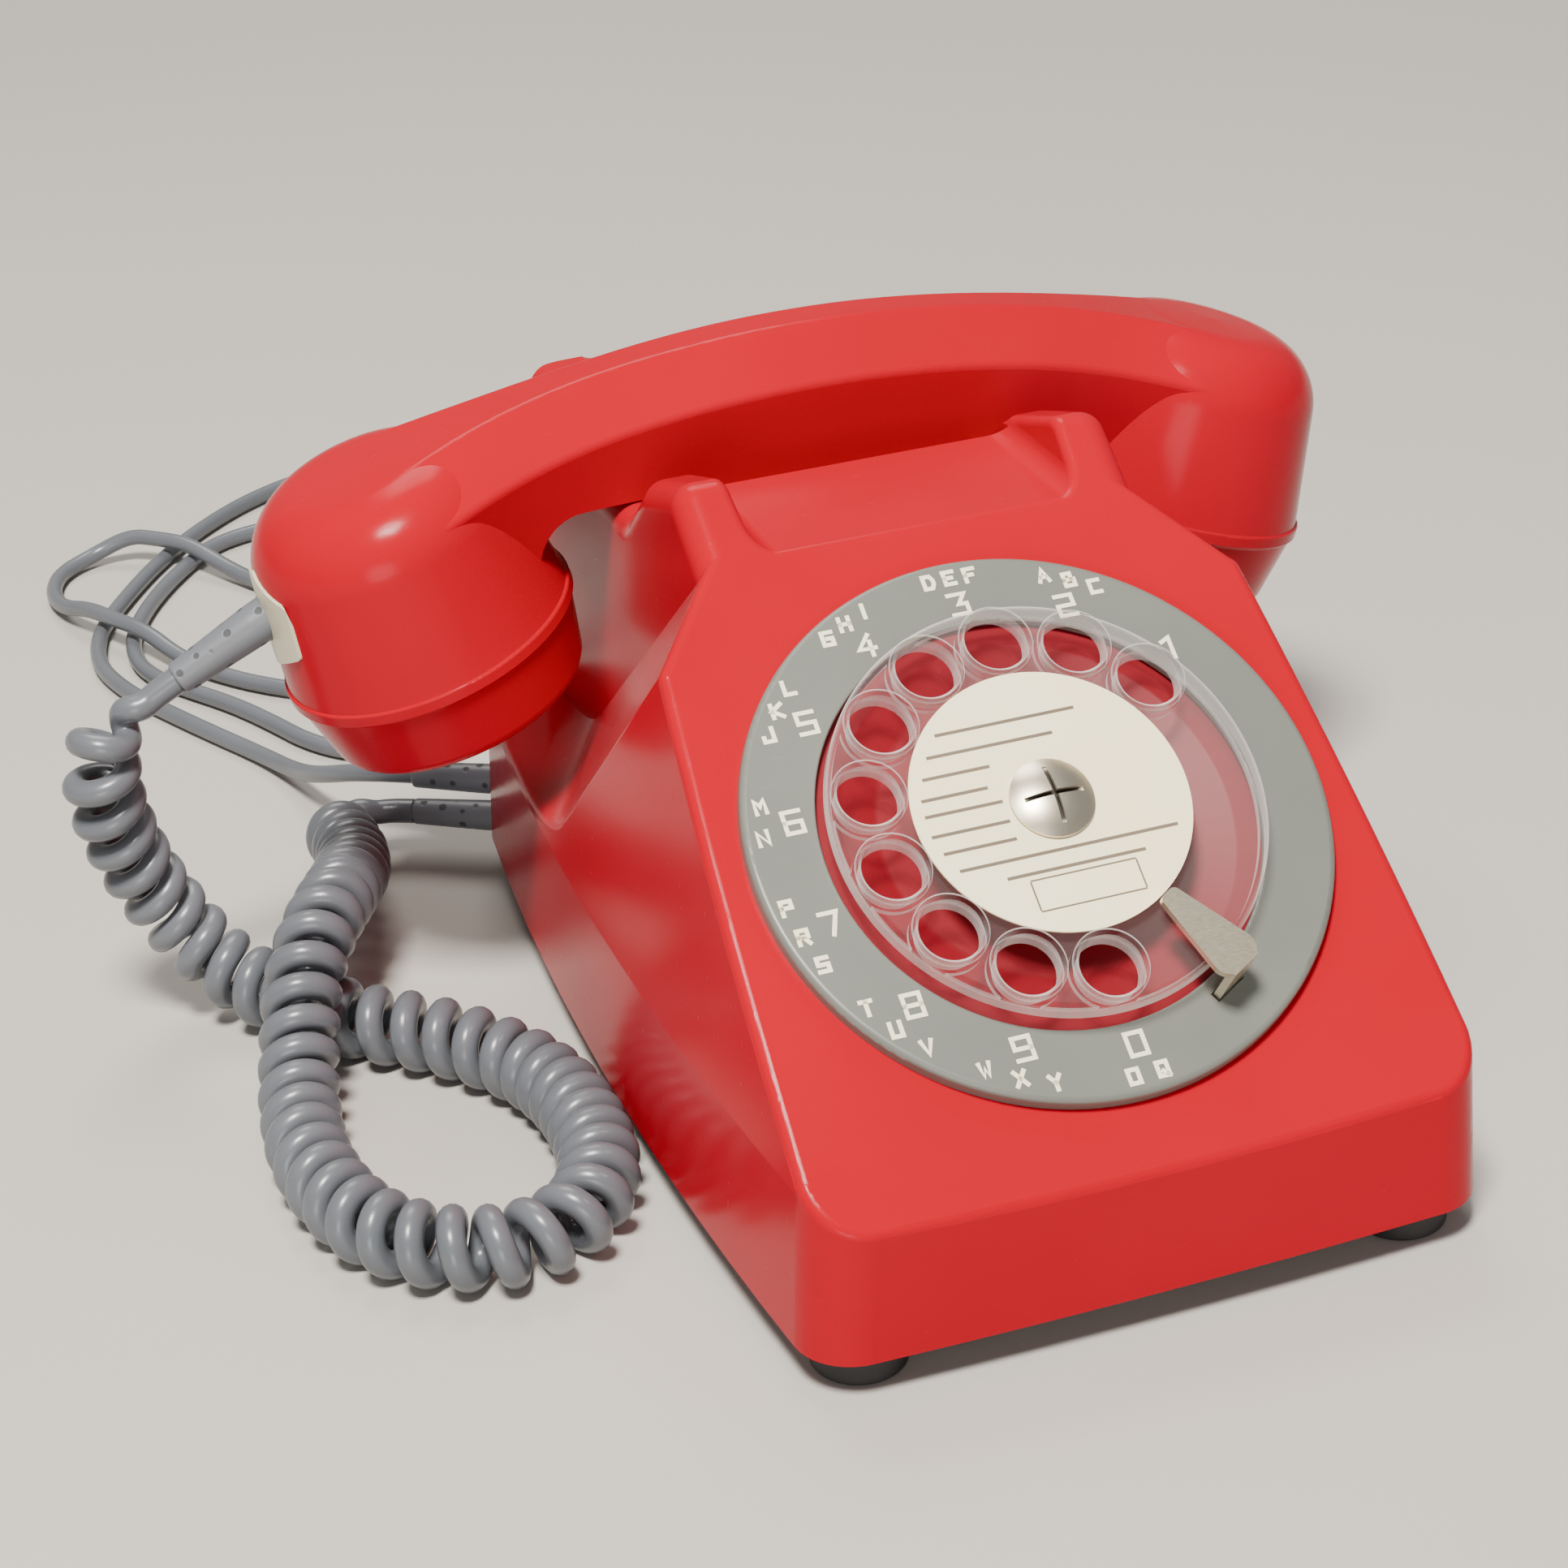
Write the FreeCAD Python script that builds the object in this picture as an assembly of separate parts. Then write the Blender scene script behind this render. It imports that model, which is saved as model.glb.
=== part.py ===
"""Rotary desk telephone with a handset on a cradle, a curly handset cord and a line cord.

Millimetres. X runs to the user's right, Y from the user to the back, Z up from the table.
The origin is on the table, under the middle of the telephone.
"""
import FreeCAD, Part
import math
import os

from FreeCAD import Placement, Rotation, Vector

# Body
BODY_DEPTH = 222.0
SIDE_FRONT = 63.6
SIDE_MID = 67.8
SIDE_REAR = 59.4
SIDE_MID_Y = -19.0
FRONT_BOW = 1.5
REAR_BOW = 2.0
FRONT_CORNER = 11.0
REAR_CORNER = 14.0
WALL = 2.6
FOOT_HEIGHT = 7.4
CHIN_HEIGHT = 24.7
WAIST_HEIGHT = 30.3
WAIST_TAPER = 1.7
SIDE_LEAN = 9.0
REAR_LEAN = 4.0
EDGE_ROUND = 2.0
RIM_ROUND = 2.0

# Cradle
EAR_OUTER = 43.2
EAR_INNER = 31.5
EAR_FRONT_Y = 7.0
EAR_Z = 120.05
EAR_ROUND = 5.0
EAR_CROWN = 5.0
VALLEY_Z = 109.7
VALLEY_ROUND = 4.0
VALLEY_LEAN = 3.0
SADDLE_GAP = 0.4
TROUGH_HALF = 18.5
TROUGH_RUN = 13.0
TROUGH_RISE = 11.8
REAR_EAR_IN = 14.0
REAR_EAR_Z = 110.5
HOOK_WELL = 4.2
SHELF_Z = 40.5
SCOOP_FOOT = (63.5, 33.6)
SCOOP_TURN = 26.1
SCOOP_STEEP = 61.6
SCOOP_ROUND = 12.0

# Base plate, feet and screws
PLATE = 2.0
FIT = 0.3
FOOT_R = 9.0
FOOT_RECESS_R = 4.4
FOOT_RECESS = 3.6
FOOT_FRONT_X = 52.0
FOOT_FRONT_IN = 13.5
FOOT_REAR_X = 45.5
FOOT_REAR_IN = 18.0
SCREW_R = 1.7
SCREW_HEAD_R = 3.4
SCREW_HEAD = 2.0
SCREW_REACH = 8.0
SCREW_FIT = 0.1
BOSS_R = 4.5

# Dial
DIAL_V = 66.4
RING_R = 53.5
RING_BORE = 40.2
RING_PLATE = 1.5
FLANGE_R = 49.5
FLANGE = 1.6
CASE_R = 42.7
CASE_WALL = 1.2
CASE_DEPTH = 24.0
LEDGE_R = 37.0
LEDGE = 1.2
DISH_DROP = 1.4
DISH = 1.2
WHEEL_R = 39.4
WHEEL = 2.4
WHEEL_TOP = 10.0
WHEEL_RIM = 1.2
WHEEL_RIM_DROP = 1.6
HOLE_COUNT = 10
HOLE_PITCH_R = 32.2
HOLE_R = 5.7
HOLE_FLARE = 0.6
COLLAR = 1.1
COLLAR_RISE = 1.0
COLLAR_DROP = 1.2
HOLE_FIRST = 36.6
HOLE_STEP = 25.8
CARD_R = 25.3
CARD = 0.4
NUT_R = 7.6
NUT = 3.0
NUT_EDGE = 0.8
NUT_SLOT = 0.9
NUT_SLOT_LONG = 11.0
NUT_SLOT_DEEP = 1.5
SHAFT_R = 5.0
SHAFT_END_R = 4.0
RUNNING_FIT = 0.08
STOP_ANGLE = -61.0
STOP_TIP_R = 25.8
STOP_OUT_R = 44.2
STOP_TIP_HALF = 1.8
STOP_OUT_HALF = 5.2
STOP = 1.4
STOP_LIFT = 1.4
STOP_TAB_HALF = 3.2

# Dial mechanism
GEAR_MODULE = 0.8
GEAR_TEETH = 60
PINION_TEETH = 10
GEAR = 2.0
GEAR_H = -9.0
MESH_PLAY = 0.45
TOOTH_SHARE = 0.36
GOVERNOR_R = 9.0
GOVERNOR_H = -19.0
PIVOT_R = 1.2
CAM_R = 11.0
CAM_LOBES = 10
CAM_H = -15.0
SPRING_STRIP = 0.6
SPRING_STEP = 1.5
SPRING_R = 7.0
SPRING_TURNS = 4
SPRING_HIGH = 2.4

# Handset
HANDSET_Y = 58.5
GRIP_TOP_Z = 129.2
GRIP_ARC = 257.0
GRIP_UNDER_Z = 102.0
GRIP_TOP_HALF = 4.2
GRIP_SIDE_HALF = 15.6
GRIP_SIDE_DROP = 8.8
GRIP_UNDER_HALF = 12.0
GRIP_ROUND = 1.6
GRIP_DEEP = 4.0
GRIP_SWING = 18.5
FLARE_FROM = 9.0
FLARE_TOP = 6.5
FLARE_SIDE = 8.0
FLARE_UNDER = 5.0
UNDER_ROUND = 9.0
CUP_X = 79.4
CUP_SEAM_Z = 78.8
CUP_TILT = 18.1
CUP_SEAM_R = 29.6
CUP_NECK_R = 26.1
CUP_NECK = 23.4
CUP_TOP = 35.8
CUP_ROUND = 15.0
CUP_WALL = 2.6
CUP_DEEP = 22.0
GRIP_BORE = 6.0
CAP_HEIGHT = 17.9
CAP_FACE_R = 26.3
CAP_ROUND = 3.0
CAP_FACE = 2.2
CAP_LIP = 0.6
CAP_COLLAR = 8.0
CAP_GAP = 0.15
SOUND_HOLE_R = 1.6
SOUND_RING_R = 9.0
SOUND_RING_COUNT = 8
CAPSULE_R = 22.6
CAPSULE = 14.0
ENTRY_S = 17.0
ENTRY_HALF = 12.5
ENTRY_HALF_HIGH = 10.0
ENTRY_SHOULDER = 5.5
ENTRY_PROUD = 0.5
ENTRY_DEEP = 1.4

# Hook switch
PLUNGER_X = 22.0
PLUNGER_R = 3.2
PLUNGER_HIGH = 19.6
HOOK_BAR_HALF = 27.0
HOOK_BAR = 4.0
HOOK_BAR_WIDE = 8.0
GUIDE_X = 12.0
GUIDE_R = 2.0
GUIDE_FIT = 0.1
GUIDE_HANG = 26.0
BRACKET_Y = 88.0
BRACKET_HALF = 13.0
BRACKET = 2.0
SWITCH_HIGH = 8.0

# Ringer
GONG_X = 27.0
GONG_Y = 70.0
GONG_R = 22.0
GONG_RIM_Z = 21.0
GONG_HIGH = 16.0
GONG_SHEET = 1.4
GONG_POST_R = 3.0
CLAPPER_Z = 22.5
CLAPPER_BALL_R = 2.6
CLAPPER_PIVOT_Y = 38.0
CLAPPER_PIN_R = 1.5
CLAPPER_HUB_R = 3.2
COIL_X = 11.0
COIL_R = 8.0
COIL_LONG = 20.0
COIL_CORE_R = 3.0
COIL_FLANGE = 1.2
RINGER_FRONT_Y = 5.0
YOKE = 3.0
ARMATURE_GAP = 2.0
FRAME_OVER = 6.0
GONG_SCREW = 8.0
GONG_SCREW_HEAD = 1.6

# Circuit board
BOARD_HALF = 35.0
BOARD_FRONT_Y = -70.0
BOARD_BACK_Y = -12.0
BOARD = 1.6
SPACER = 3.6
SPACER_R = 3.0
SPACER_IN = 5.0
CORE_X = -19.0
CORE_Y = -30.0
CORE_WIDE = 24.0
CORE_LONG = 20.0
CORE_HIGH = 20.0
CORE_BAR = 4.0
BOBBIN_OVER = 3.0
CAPACITOR_X = 18.5
CAPACITOR_Y = -31.0
CAPACITOR = (25.0, 12.0, 17.0)
CAPACITOR_ROUND = 1.5
TERMINALS = 6
TERMINAL_STEP = 8.0
TERMINAL_IN = 7.0
TERMINAL_DEEP = 11.0
TERMINAL_BASE = 5.0
TERMINAL_WALL = 1.6
TERMINAL_WALL_HIGH = 3.0
TERMINAL_SCREW_R = 2.2
TERMINAL_SCREW = 1.6

# Cords
WIRE = 4.8
LINE_WIRE = 4.0
RELIEF_TURN = 32.0
LINE_EXIT_X = -56.3
LINE_EXIT_IN = 4.0
LINE_EXIT_Z = 16.6
CURLY_EXIT_X = -58.3
CURLY_EXIT_IN = 10.0
CURLY_EXIT_Z = 10.9
RELIEF_R = 3.3
RELIEF_TIP_R = 2.8
RELIEF_LONG = 19.0
RELIEF_INSIDE = 9.0
RELIEF_COLLAR = 3.0
RELIEF_ROUND = 0.8
SLEEVE_R = 4.2
SLEEVE_LONG = 21.0
SLEEVE_INSIDE = 6.0
SLEEVE_FIT = 0.2
SLEEVE_DROOP = 0.34
CURL_OD = 14.8
CURL_OPEN = 7.8
CURL_TIGHT = 5.7
CURL_CLEAR = 0.6
CURL_LEAD = 10.0
CURL_LOOK = 14
TIGHT_FROM = 150.0
TIGHT_TO = 205.0
COIL_X0 = 16.0
COIL_Y0 = 158.0
COIL_INNER_R = 16.5
COIL_STEP = 5.0
COIL_LAYER_TURNS = 3
TIE_WIDE = 8.0
TIE = 1.2
PLUG = (15.0, 24.0, 10.0)

# Derived places
CHIN_Y = -BODY_DEPTH / 2
REAR_Y = BODY_DEPTH / 2
BASE_Z = FOOT_HEIGHT
FLOOR_Z = BASE_Z + PLATE
CHIN_TOP_Z = BASE_Z + CHIN_HEIGHT
WAIST_Z = BASE_Z + WAIST_HEIGHT
BLOCK_TOP_Z = GRIP_TOP_Z + 6.0
SADDLE_Z = GRIP_UNDER_Z - SADDLE_GAP
WELL_Z = SADDLE_Z - HOOK_WELL
REAR_EAR_Y = REAR_Y - REAR_EAR_IN
PANEL_RISE = (EAR_Z - CHIN_TOP_Z) / (EAR_FRONT_Y - CHIN_Y)
PANEL_SLOPE = math.degrees(math.atan(PANEL_RISE))
RING_TOP = FLANGE + RING_PLATE
CURL_R = (CURL_OD - WIRE) / 2
CARD_TOP = WHEEL_TOP + CARD
COIL_FLOOR = LINE_WIRE / 2 + TIE + FIT
X_AXIS = Vector(1, 0, 0)
Y_AXIS = Vector(0, 1, 0)
Z_AXIS = Vector(0, 0, 1)
ORIGIN = Vector(0, 0, 0)


def in_xy(z):
    """Places a flat point (a, b) at (a, b, z)."""
    return lambda a, b: Vector(a, b, z)


def in_xz(y):
    """Places a flat point (a, b) at (a, y, b)."""
    return lambda a, b: Vector(a, y, b)


def in_yz(x):
    """Places a flat point (a, b) at (x, a, b)."""
    return lambda a, b: Vector(x, a, b)


def rounded(corners, place):
    """Closed wire through (a, b) or (a, b, radius) corners, with a tangent arc at each radius."""
    ends = []
    for index, corner in enumerate(corners):
        point = Vector(corner[0], corner[1], 0)
        before = Vector(*corners[index - 1][:2], 0) - point
        after = Vector(*corners[(index + 1) % len(corners)][:2], 0) - point
        radius = corner[2] if len(corner) > 2 else 0
        if radius == 0:
            ends.append((point, None, point))
            continue
        before.normalize()
        after.normalize()
        half = before.getAngle(after) / 2
        reach = radius / math.tan(half)
        middle = point + (before + after).normalize() * (radius / math.sin(half) - radius)
        ends.append((point + before * reach, middle, point + after * reach))
    edges = []
    for index, (start, middle, stop) in enumerate(ends):
        if middle is not None:
            arc = [place(p.x, p.y) for p in (start, middle, stop)]
            edges.append(Part.Arc(*arc).toShape())
        onward = ends[(index + 1) % len(ends)][0]
        if (onward - stop).Length > 1e-6:
            edges.append(Part.LineSegment(place(stop.x, stop.y), place(onward.x, onward.y)).toShape())
    return Part.Wire(edges)


def grown(corners, margin):
    """Corners of a closed outline moved outwards by a margin, with the radii following."""
    pairs = zip(corners, corners[1:] + corners[:1])
    area = sum(a[0] * b[1] - a[1] * b[0] for a, b in pairs)
    way = math.copysign(1, area)
    result = []
    for index, corner in enumerate(corners):
        point = Vector(corner[0], corner[1], 0)
        here = point - Vector(*corners[index - 1][:2], 0)
        onward = Vector(*corners[(index + 1) % len(corners)][:2], 0) - point
        here.normalize()
        onward.normalize()
        normals = [Vector(d.y, -d.x, 0) * way for d in (here, onward)]
        out = (normals[0] + normals[1]) * (margin / (1 + normals[0].dot(normals[1])))
        radius = corner[2] if len(corner) > 2 else 0
        if radius:
            bend = math.copysign(1, here.cross(onward).z * way)
            radius = max(radius + bend * margin, 0)
        result.append((point.x + out.x, point.y + out.y, radius))
    return result


def prism(corners, place, along):
    """Solid pushed from a rounded outline along a vector."""
    return Part.Face(rounded(corners, place)).extrude(along)


def turned(corners):
    """Solid turned about Z from a rounded outline of (radius, height) corners."""
    return Part.Face(rounded(corners, in_xz(0))).revolve(ORIGIN, Z_AXIS, 360)


def rod(radius, base, top):
    """Round bar from one point to another."""
    along = top - base
    return Part.makeCylinder(radius, along.Length, base, along)


def tube(outer, inner, low, high):
    """Upright sleeve about Z."""
    sleeve = Part.makeCylinder(outer, high - low, Vector(0, 0, low))
    return sleeve.cut(Part.makeCylinder(inner, high - low, Vector(0, 0, low)))


def brick(x_span, y_span, z_span):
    """Box between three pairs of limits."""
    corner = Vector(x_span[0], y_span[0], z_span[0])
    size = [span[1] - span[0] for span in (x_span, y_span, z_span)]
    return Part.makeBox(*size, corner)


def joined(shapes):
    """One solid from shapes that touch or overlap."""
    whole = shapes[0].multiFuse(list(shapes[1:])).removeSplitter()
    return whole.Solids[0] if len(whole.Solids) == 1 else whole


def moved(shape, placement):
    """Copy of a shape in another place."""
    copy = shape.copy()
    copy.Placement = placement.multiply(copy.Placement)
    return copy


def shifted(shape, x, y, z):
    """Copy of a shape moved along the axes."""
    return moved(shape, Placement(Vector(x, y, z), Rotation()))


def on_panel(shape):
    """Puts a shape made about Z on the dial's axis, with Z square to the sloping panel."""
    tilt = Rotation(X_AXIS, PANEL_SLOPE)
    along = tilt.multVec(Vector(0, DIAL_V, 0))
    return moved(shape, Placement(Vector(0, CHIN_Y, CHIN_TOP_Z) + along, tilt))


def on_cup(shape, side):
    """Puts a shape made about Z on a cup's axis, with Z = 0 at the seam under the cup."""
    tilt = Rotation(Y_AXIS, side * CUP_TILT)
    return moved(shape, Placement(Vector(side * CUP_X, HANDSET_Y, CUP_SEAM_Z), tilt))


def bowed(start, middle, stop):
    """Arc edge through three points."""
    return Part.Arc(Vector(*start), Vector(*middle), Vector(*stop)).toShape()


def plan_wire(z, inset, side_in, rear_in):
    """Outline of the body at one height, with bowed front, sides and rear and round corners."""
    front = CHIN_Y + inset
    rear = REAR_Y - rear_in - inset
    fore = (SIDE_FRONT - side_in - inset, front + FRONT_BOW)
    aft = (SIDE_REAR - side_in - inset, rear - REAR_BOW)
    mid = SIDE_MID - side_in - inset
    corners = [(-fore[0], fore[1], z), (*fore, z), (*aft, z), (-aft[0], aft[1], z)]
    crowns = [(0, front, z), (mid, SIDE_MID_Y, z), (0, rear, z), (-mid, SIDE_MID_Y, z)]
    radii = [FRONT_CORNER - inset, FRONT_CORNER - inset, REAR_CORNER - inset, REAR_CORNER - inset]
    bows = [bowed(corners[i], crowns[i], corners[(i + 1) % 4]) for i in range(4)]
    trims = []
    for index in range(4):
        before, after = bows[index - 1], bows[index]
        turn = before.tangentAt(before.LastParameter).getAngle(after.tangentAt(after.FirstParameter))
        trims.append(radii[index] * math.tan(turn / 2))
    edges = []
    for index, bow in enumerate(bows):
        onward = bows[(index + 1) % 4]
        start = bow.valueAt(bow.getParameterByLength(trims[index]))
        stop = bow.valueAt(bow.getParameterByLength(bow.Length - trims[(index + 1) % 4]))
        landing = onward.valueAt(onward.getParameterByLength(trims[(index + 1) % 4]))
        corner = Vector(*corners[(index + 1) % 4])
        weight = (landing - stop).Length / (corner - stop).Length
        bend = (stop + landing + corner * weight) * (1 / (2 + weight))
        edges.append(bowed(start, crowns[index], stop))
        edges.append(bowed(stop, bend, landing))
    return Part.Wire(edges)


def body_block(inset):
    """Upright block of the body: walls that taper to the waist and lean inwards above it."""
    rise = BLOCK_TOP_Z - WAIST_Z
    lean = WAIST_TAPER + rise * math.tan(math.radians(SIDE_LEAN))
    rear = rise * math.tan(math.radians(REAR_LEAN))
    foot = BASE_Z - (1.0 if inset else 0.0)
    return Part.makeLoft([
        plan_wire(foot, inset, 0, 0),
        plan_wire(WAIST_Z, inset, WAIST_TAPER, 0),
        plan_wire(BLOCK_TOP_Z, inset, lean, rear),
    ], True, True)


def top_corners():
    """Side view of the body's top: panel, ears, the trough for the grip and the rear ears."""
    beyond = BODY_DEPTH
    trough_front = HANDSET_Y - TROUGH_HALF
    trough_rear = HANDSET_Y + TROUGH_HALF
    return [
        (-beyond, -beyond),
        (beyond, -beyond),
        (beyond, REAR_EAR_Z),
        (REAR_EAR_Y, REAR_EAR_Z, EAR_ROUND),
        (trough_rear, SADDLE_Z, 4),
        (trough_front, SADDLE_Z, 4),
        (trough_front - TROUGH_RUN, SADDLE_Z + TROUGH_RISE, 3),
        (EAR_FRONT_Y, EAR_Z, EAR_ROUND),
        (-beyond, CHIN_TOP_Z - (beyond + CHIN_Y) * PANEL_RISE),
    ]


def scoop(side, grow):
    """Room beside the cradle that a handset cup hangs in: a slanting ramp, a shelf and the ear's wall."""
    far = BODY_DEPTH
    turn = math.radians(SCOOP_TURN)
    out = Vector(math.cos(turn), math.sin(turn), 0)
    along = Vector(-math.sin(turn), math.cos(turn), 0)
    foot = out.dot(Vector(*SCOOP_FOOT, 0))
    rise = far - SHELF_Z
    floor = [
        (foot + far, SHELF_Z),
        (foot + far, far),
        (foot - rise / math.tan(math.radians(SCOOP_STEEP)), far),
        (foot, SHELF_Z, SCOOP_ROUND),
    ]
    start = along * -far
    room = prism(grown(floor, grow), lambda a, b: out * a + start + Z_AXIS * b, along * 2 * far)
    edge = EAR_OUTER - grow
    room = room.common(brick((edge, far), (-far, far), (0, far)))
    return room if side > 0 else room.mirror(ORIGIN, X_AXIS)


def valley(grow):
    """Gap between the ears, with the well of the hook switch in the trough."""
    low = VALLEY_Z - grow
    half = EAR_INNER + grow
    bend = VALLEY_ROUND + grow
    lean = half + VALLEY_LEAN
    gap = prism([
        (-half, low, bend), (half, low, bend), (lean, BLOCK_TOP_Z), (-lean, BLOCK_TOP_Z),
    ], in_xz(-BODY_DEPTH / 4), Vector(0, BODY_DEPTH, 0))
    front = HANDSET_Y - TROUGH_HALF - grow
    rear = HANDSET_Y + TROUGH_HALF + grow
    slope = TROUGH_RUN / TROUGH_RISE
    lift = BLOCK_TOP_Z - SADDLE_Z
    well = prism([
        (front, WELL_Z - grow), (rear, WELL_Z - grow),
        (rear + lift * slope, BLOCK_TOP_Z), (front - lift * slope, BLOCK_TOP_Z),
    ], in_yz(-half), Vector(2 * half, 0, 0))
    return gap.fuse(well)


def body_form(inset):
    """Outside of the body, or with an inset the room inside its walls."""
    top = prism(grown(top_corners(), -inset), in_yz(-BODY_DEPTH / 2), Vector(BODY_DEPTH, 0, 0))
    form = body_block(inset).common(top)
    for side in (-1, 1):
        form = form.cut(scoop(side, inset))
    return form.cut(valley(inset))


def foot_places():
    """The four places where a foot, a screw and a boss stand in line."""
    front = (FOOT_FRONT_X, CHIN_Y + FOOT_FRONT_IN)
    rear = (FOOT_REAR_X, REAR_Y - FOOT_REAR_IN)
    return [(side * x, y) for x, y in (front, rear) for side in (-1, 1)]


def relief_frames():
    """Where the two cords leave the rear left corner: a point on the wall and the way out."""
    out = Vector(-math.cos(math.radians(RELIEF_TURN)), math.sin(math.radians(RELIEF_TURN)), 0)
    line = Vector(LINE_EXIT_X, REAR_Y - LINE_EXIT_IN, LINE_EXIT_Z)
    curly = Vector(CURLY_EXIT_X, REAR_Y - CURLY_EXIT_IN, CURLY_EXIT_Z)
    return [(line, out), (curly, out)]


def middle_of(edge):
    """Point half way along an edge."""
    return edge.valueAt((edge.FirstParameter + edge.LastParameter) / 2)


def panel_edges(form, straight):
    """Edges in the sloping panel's plane: its straight ones, or the curved ones around it."""
    normal = Rotation(X_AXIS, PANEL_SLOPE).multVec(Z_AXIS)
    start = Vector(0, CHIN_Y, CHIN_TOP_Z)
    found = []
    for edge in [edge for edge in form.Edges if not edge.Degenerated]:
        points = [vertex.Point for vertex in edge.Vertexes] + [middle_of(edge)]
        flat = all(abs((point - start).dot(normal)) < 0.01 for point in points)
        curved = edge.Curve.TypeId == "Part::GeomBSplineCurve"
        if flat and curved != straight:
            found.append(edge)
    return found


def ear_edges(form):
    """Long outer edges of the ears, front and rear."""
    found = []
    for edge in form.Edges:
        points = [vertex.Point for vertex in edge.Vertexes]
        if all(abs(abs(point.x) - EAR_OUTER) < 0.01 and point.z > WELL_Z for point in points):
            found.append(edge)
    return found


def rounded_form():
    """Outside of the body with the panel's edges, the ears and the edges beside them rounded."""
    form = body_form(0)
    form = form.makeFillet(EDGE_ROUND, panel_edges(form, False))
    form = form.makeFillet(EAR_CROWN, ear_edges(form))
    fold = [edge for edge in panel_edges(form, True) if abs(middle_of(edge).x) < EAR_OUTER - EAR_CROWN]
    form = form.makeFillet(RIM_ROUND, fold)
    brow = [edge for edge in panel_edges(form, True) if abs(middle_of(edge).x) > EAR_OUTER]
    return form.makeFillet(RIM_ROUND, brow)


def housing():
    """Moulded body, open below, with the dial's opening, cradle, screw bosses and guides."""
    form = rounded_form()
    shell = form.cut(body_form(WALL))
    bosses = []
    for x, y in foot_places():
        bosses.append(rod(BOSS_R, Vector(x, y, FLOOR_Z), Vector(x, y, SHELF_Z + WALL)))
    for side in (-1, 1):
        top = Vector(side * GUIDE_X, HANDSET_Y, WELL_Z)
        bosses.append(rod(GUIDE_R, top - Vector(0, 0, GUIDE_HANG), top))
    shell = shell.fuse([boss.common(form) for boss in bosses])
    holes = [on_panel(Part.makeCylinder(CASE_R + FIT, 4 * WALL, Vector(0, 0, -2 * WALL)))]
    for x, y in foot_places():
        top = FLOOR_Z + SCREW_REACH + 2 * SCREW_R
        holes.append(rod(SCREW_R + SCREW_FIT, Vector(x, y, BASE_Z), Vector(x, y, top)))
    for side in (-1, 1):
        low = Vector(side * PLUNGER_X, HANDSET_Y, WELL_Z - 2 * WALL)
        holes.append(rod(PLUNGER_R + FIT, low, low + Vector(0, 0, 4 * WALL)))
    for point, out in relief_frames():
        holes.append(rod(RELIEF_R + FIT, point - out * 4 * WALL, point + out * 4 * WALL))
    return shell.cut(holes).removeSplitter()


def base_plate():
    """Flat floor inside the body's rim, with spacers for the board and holes for the screws."""
    slab = brick((-BODY_DEPTH, BODY_DEPTH), (-BODY_DEPTH, BODY_DEPTH), (BASE_Z, FLOOR_Z))
    plate = body_block(WALL + FIT).common(slab)
    spacers = []
    for x, y in board_corners():
        spacers.append(rod(SPACER_R, Vector(x, y, FLOOR_Z), Vector(x, y, FLOOR_Z + SPACER)))
    plate = plate.fuse(spacers)
    holes = []
    for x, y in foot_places():
        holes.append(rod(SCREW_R + FIT, Vector(x, y, 0), Vector(x, y, 2 * FLOOR_Z)))
    for x, y in board_corners():
        low = Vector(x, y, FLOOR_Z)
        holes.append(rod(PIVOT_R + SCREW_FIT, low, low + Vector(0, 0, 2 * SPACER)))
    for point, out in relief_frames():
        holes.append(rod(RELIEF_R + FIT, point - out * 2 * RELIEF_INSIDE, point))
    return plate.cut(holes).removeSplitter()


def rubber_feet():
    """Four round feet, each with a recess for the screw that holds the body together."""
    foot = turned([
        (SCREW_R + FIT, FOOT_RECESS),
        (FOOT_RECESS_R, FOOT_RECESS),
        (FOOT_RECESS_R, 0),
        (FOOT_R - 0.4, 0, 0.8),
        (FOOT_R, BASE_Z),
        (SCREW_R + FIT, BASE_Z),
    ])
    return Part.Compound([shifted(foot, x, y, 0) for x, y in foot_places()])


def cross_screw(radius, length, head_r, head):
    """Pan head screw with its head's seat at Z = 0 and its shank upwards."""
    screw = joined([
        Part.makeCylinder(radius, length),
        turned([(0, -head), (head_r, -head, head / 2), (head_r, 0), (0, 0)]),
    ])
    for turn in (0, 90):
        slot = brick((-0.6 * head_r, 0.6 * head_r), (-0.3, 0.3), (-2 * head, -0.5 * head))
        slot.rotate(ORIGIN, Z_AXIS, turn)
        screw = screw.cut(slot)
    return screw


def base_screws():
    """Four screws, from the recess of each foot into the body's bosses."""
    reach = FLOOR_Z - FOOT_RECESS + SCREW_REACH
    screw = cross_screw(SCREW_R, reach, SCREW_HEAD_R, SCREW_HEAD)
    return Part.Compound([shifted(screw, x, y, FOOT_RECESS) for x, y in foot_places()])


def board_corners():
    """The places of the board's four screws."""
    near, far = BOARD_FRONT_Y + SPACER_IN, BOARD_BACK_Y - SPACER_IN
    reach = BOARD_HALF - SPACER_IN
    return [(side * reach, y) for y in (near, far) for side in (-1, 1)]


def circuit_board():
    """Board of the speech circuit, on four spacers."""
    low = FLOOR_Z + SPACER
    half = BOARD_HALF
    board = prism([
        (-half, BOARD_FRONT_Y, 2), (half, BOARD_FRONT_Y, 2),
        (half, BOARD_BACK_Y, 2), (-half, BOARD_BACK_Y, 2),
    ], in_xy(low), Vector(0, 0, BOARD))
    for x, y in board_corners():
        board = board.cut(rod(PIVOT_R + SCREW_FIT, Vector(x, y, 0), Vector(x, y, 4 * low)))
    return board


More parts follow.
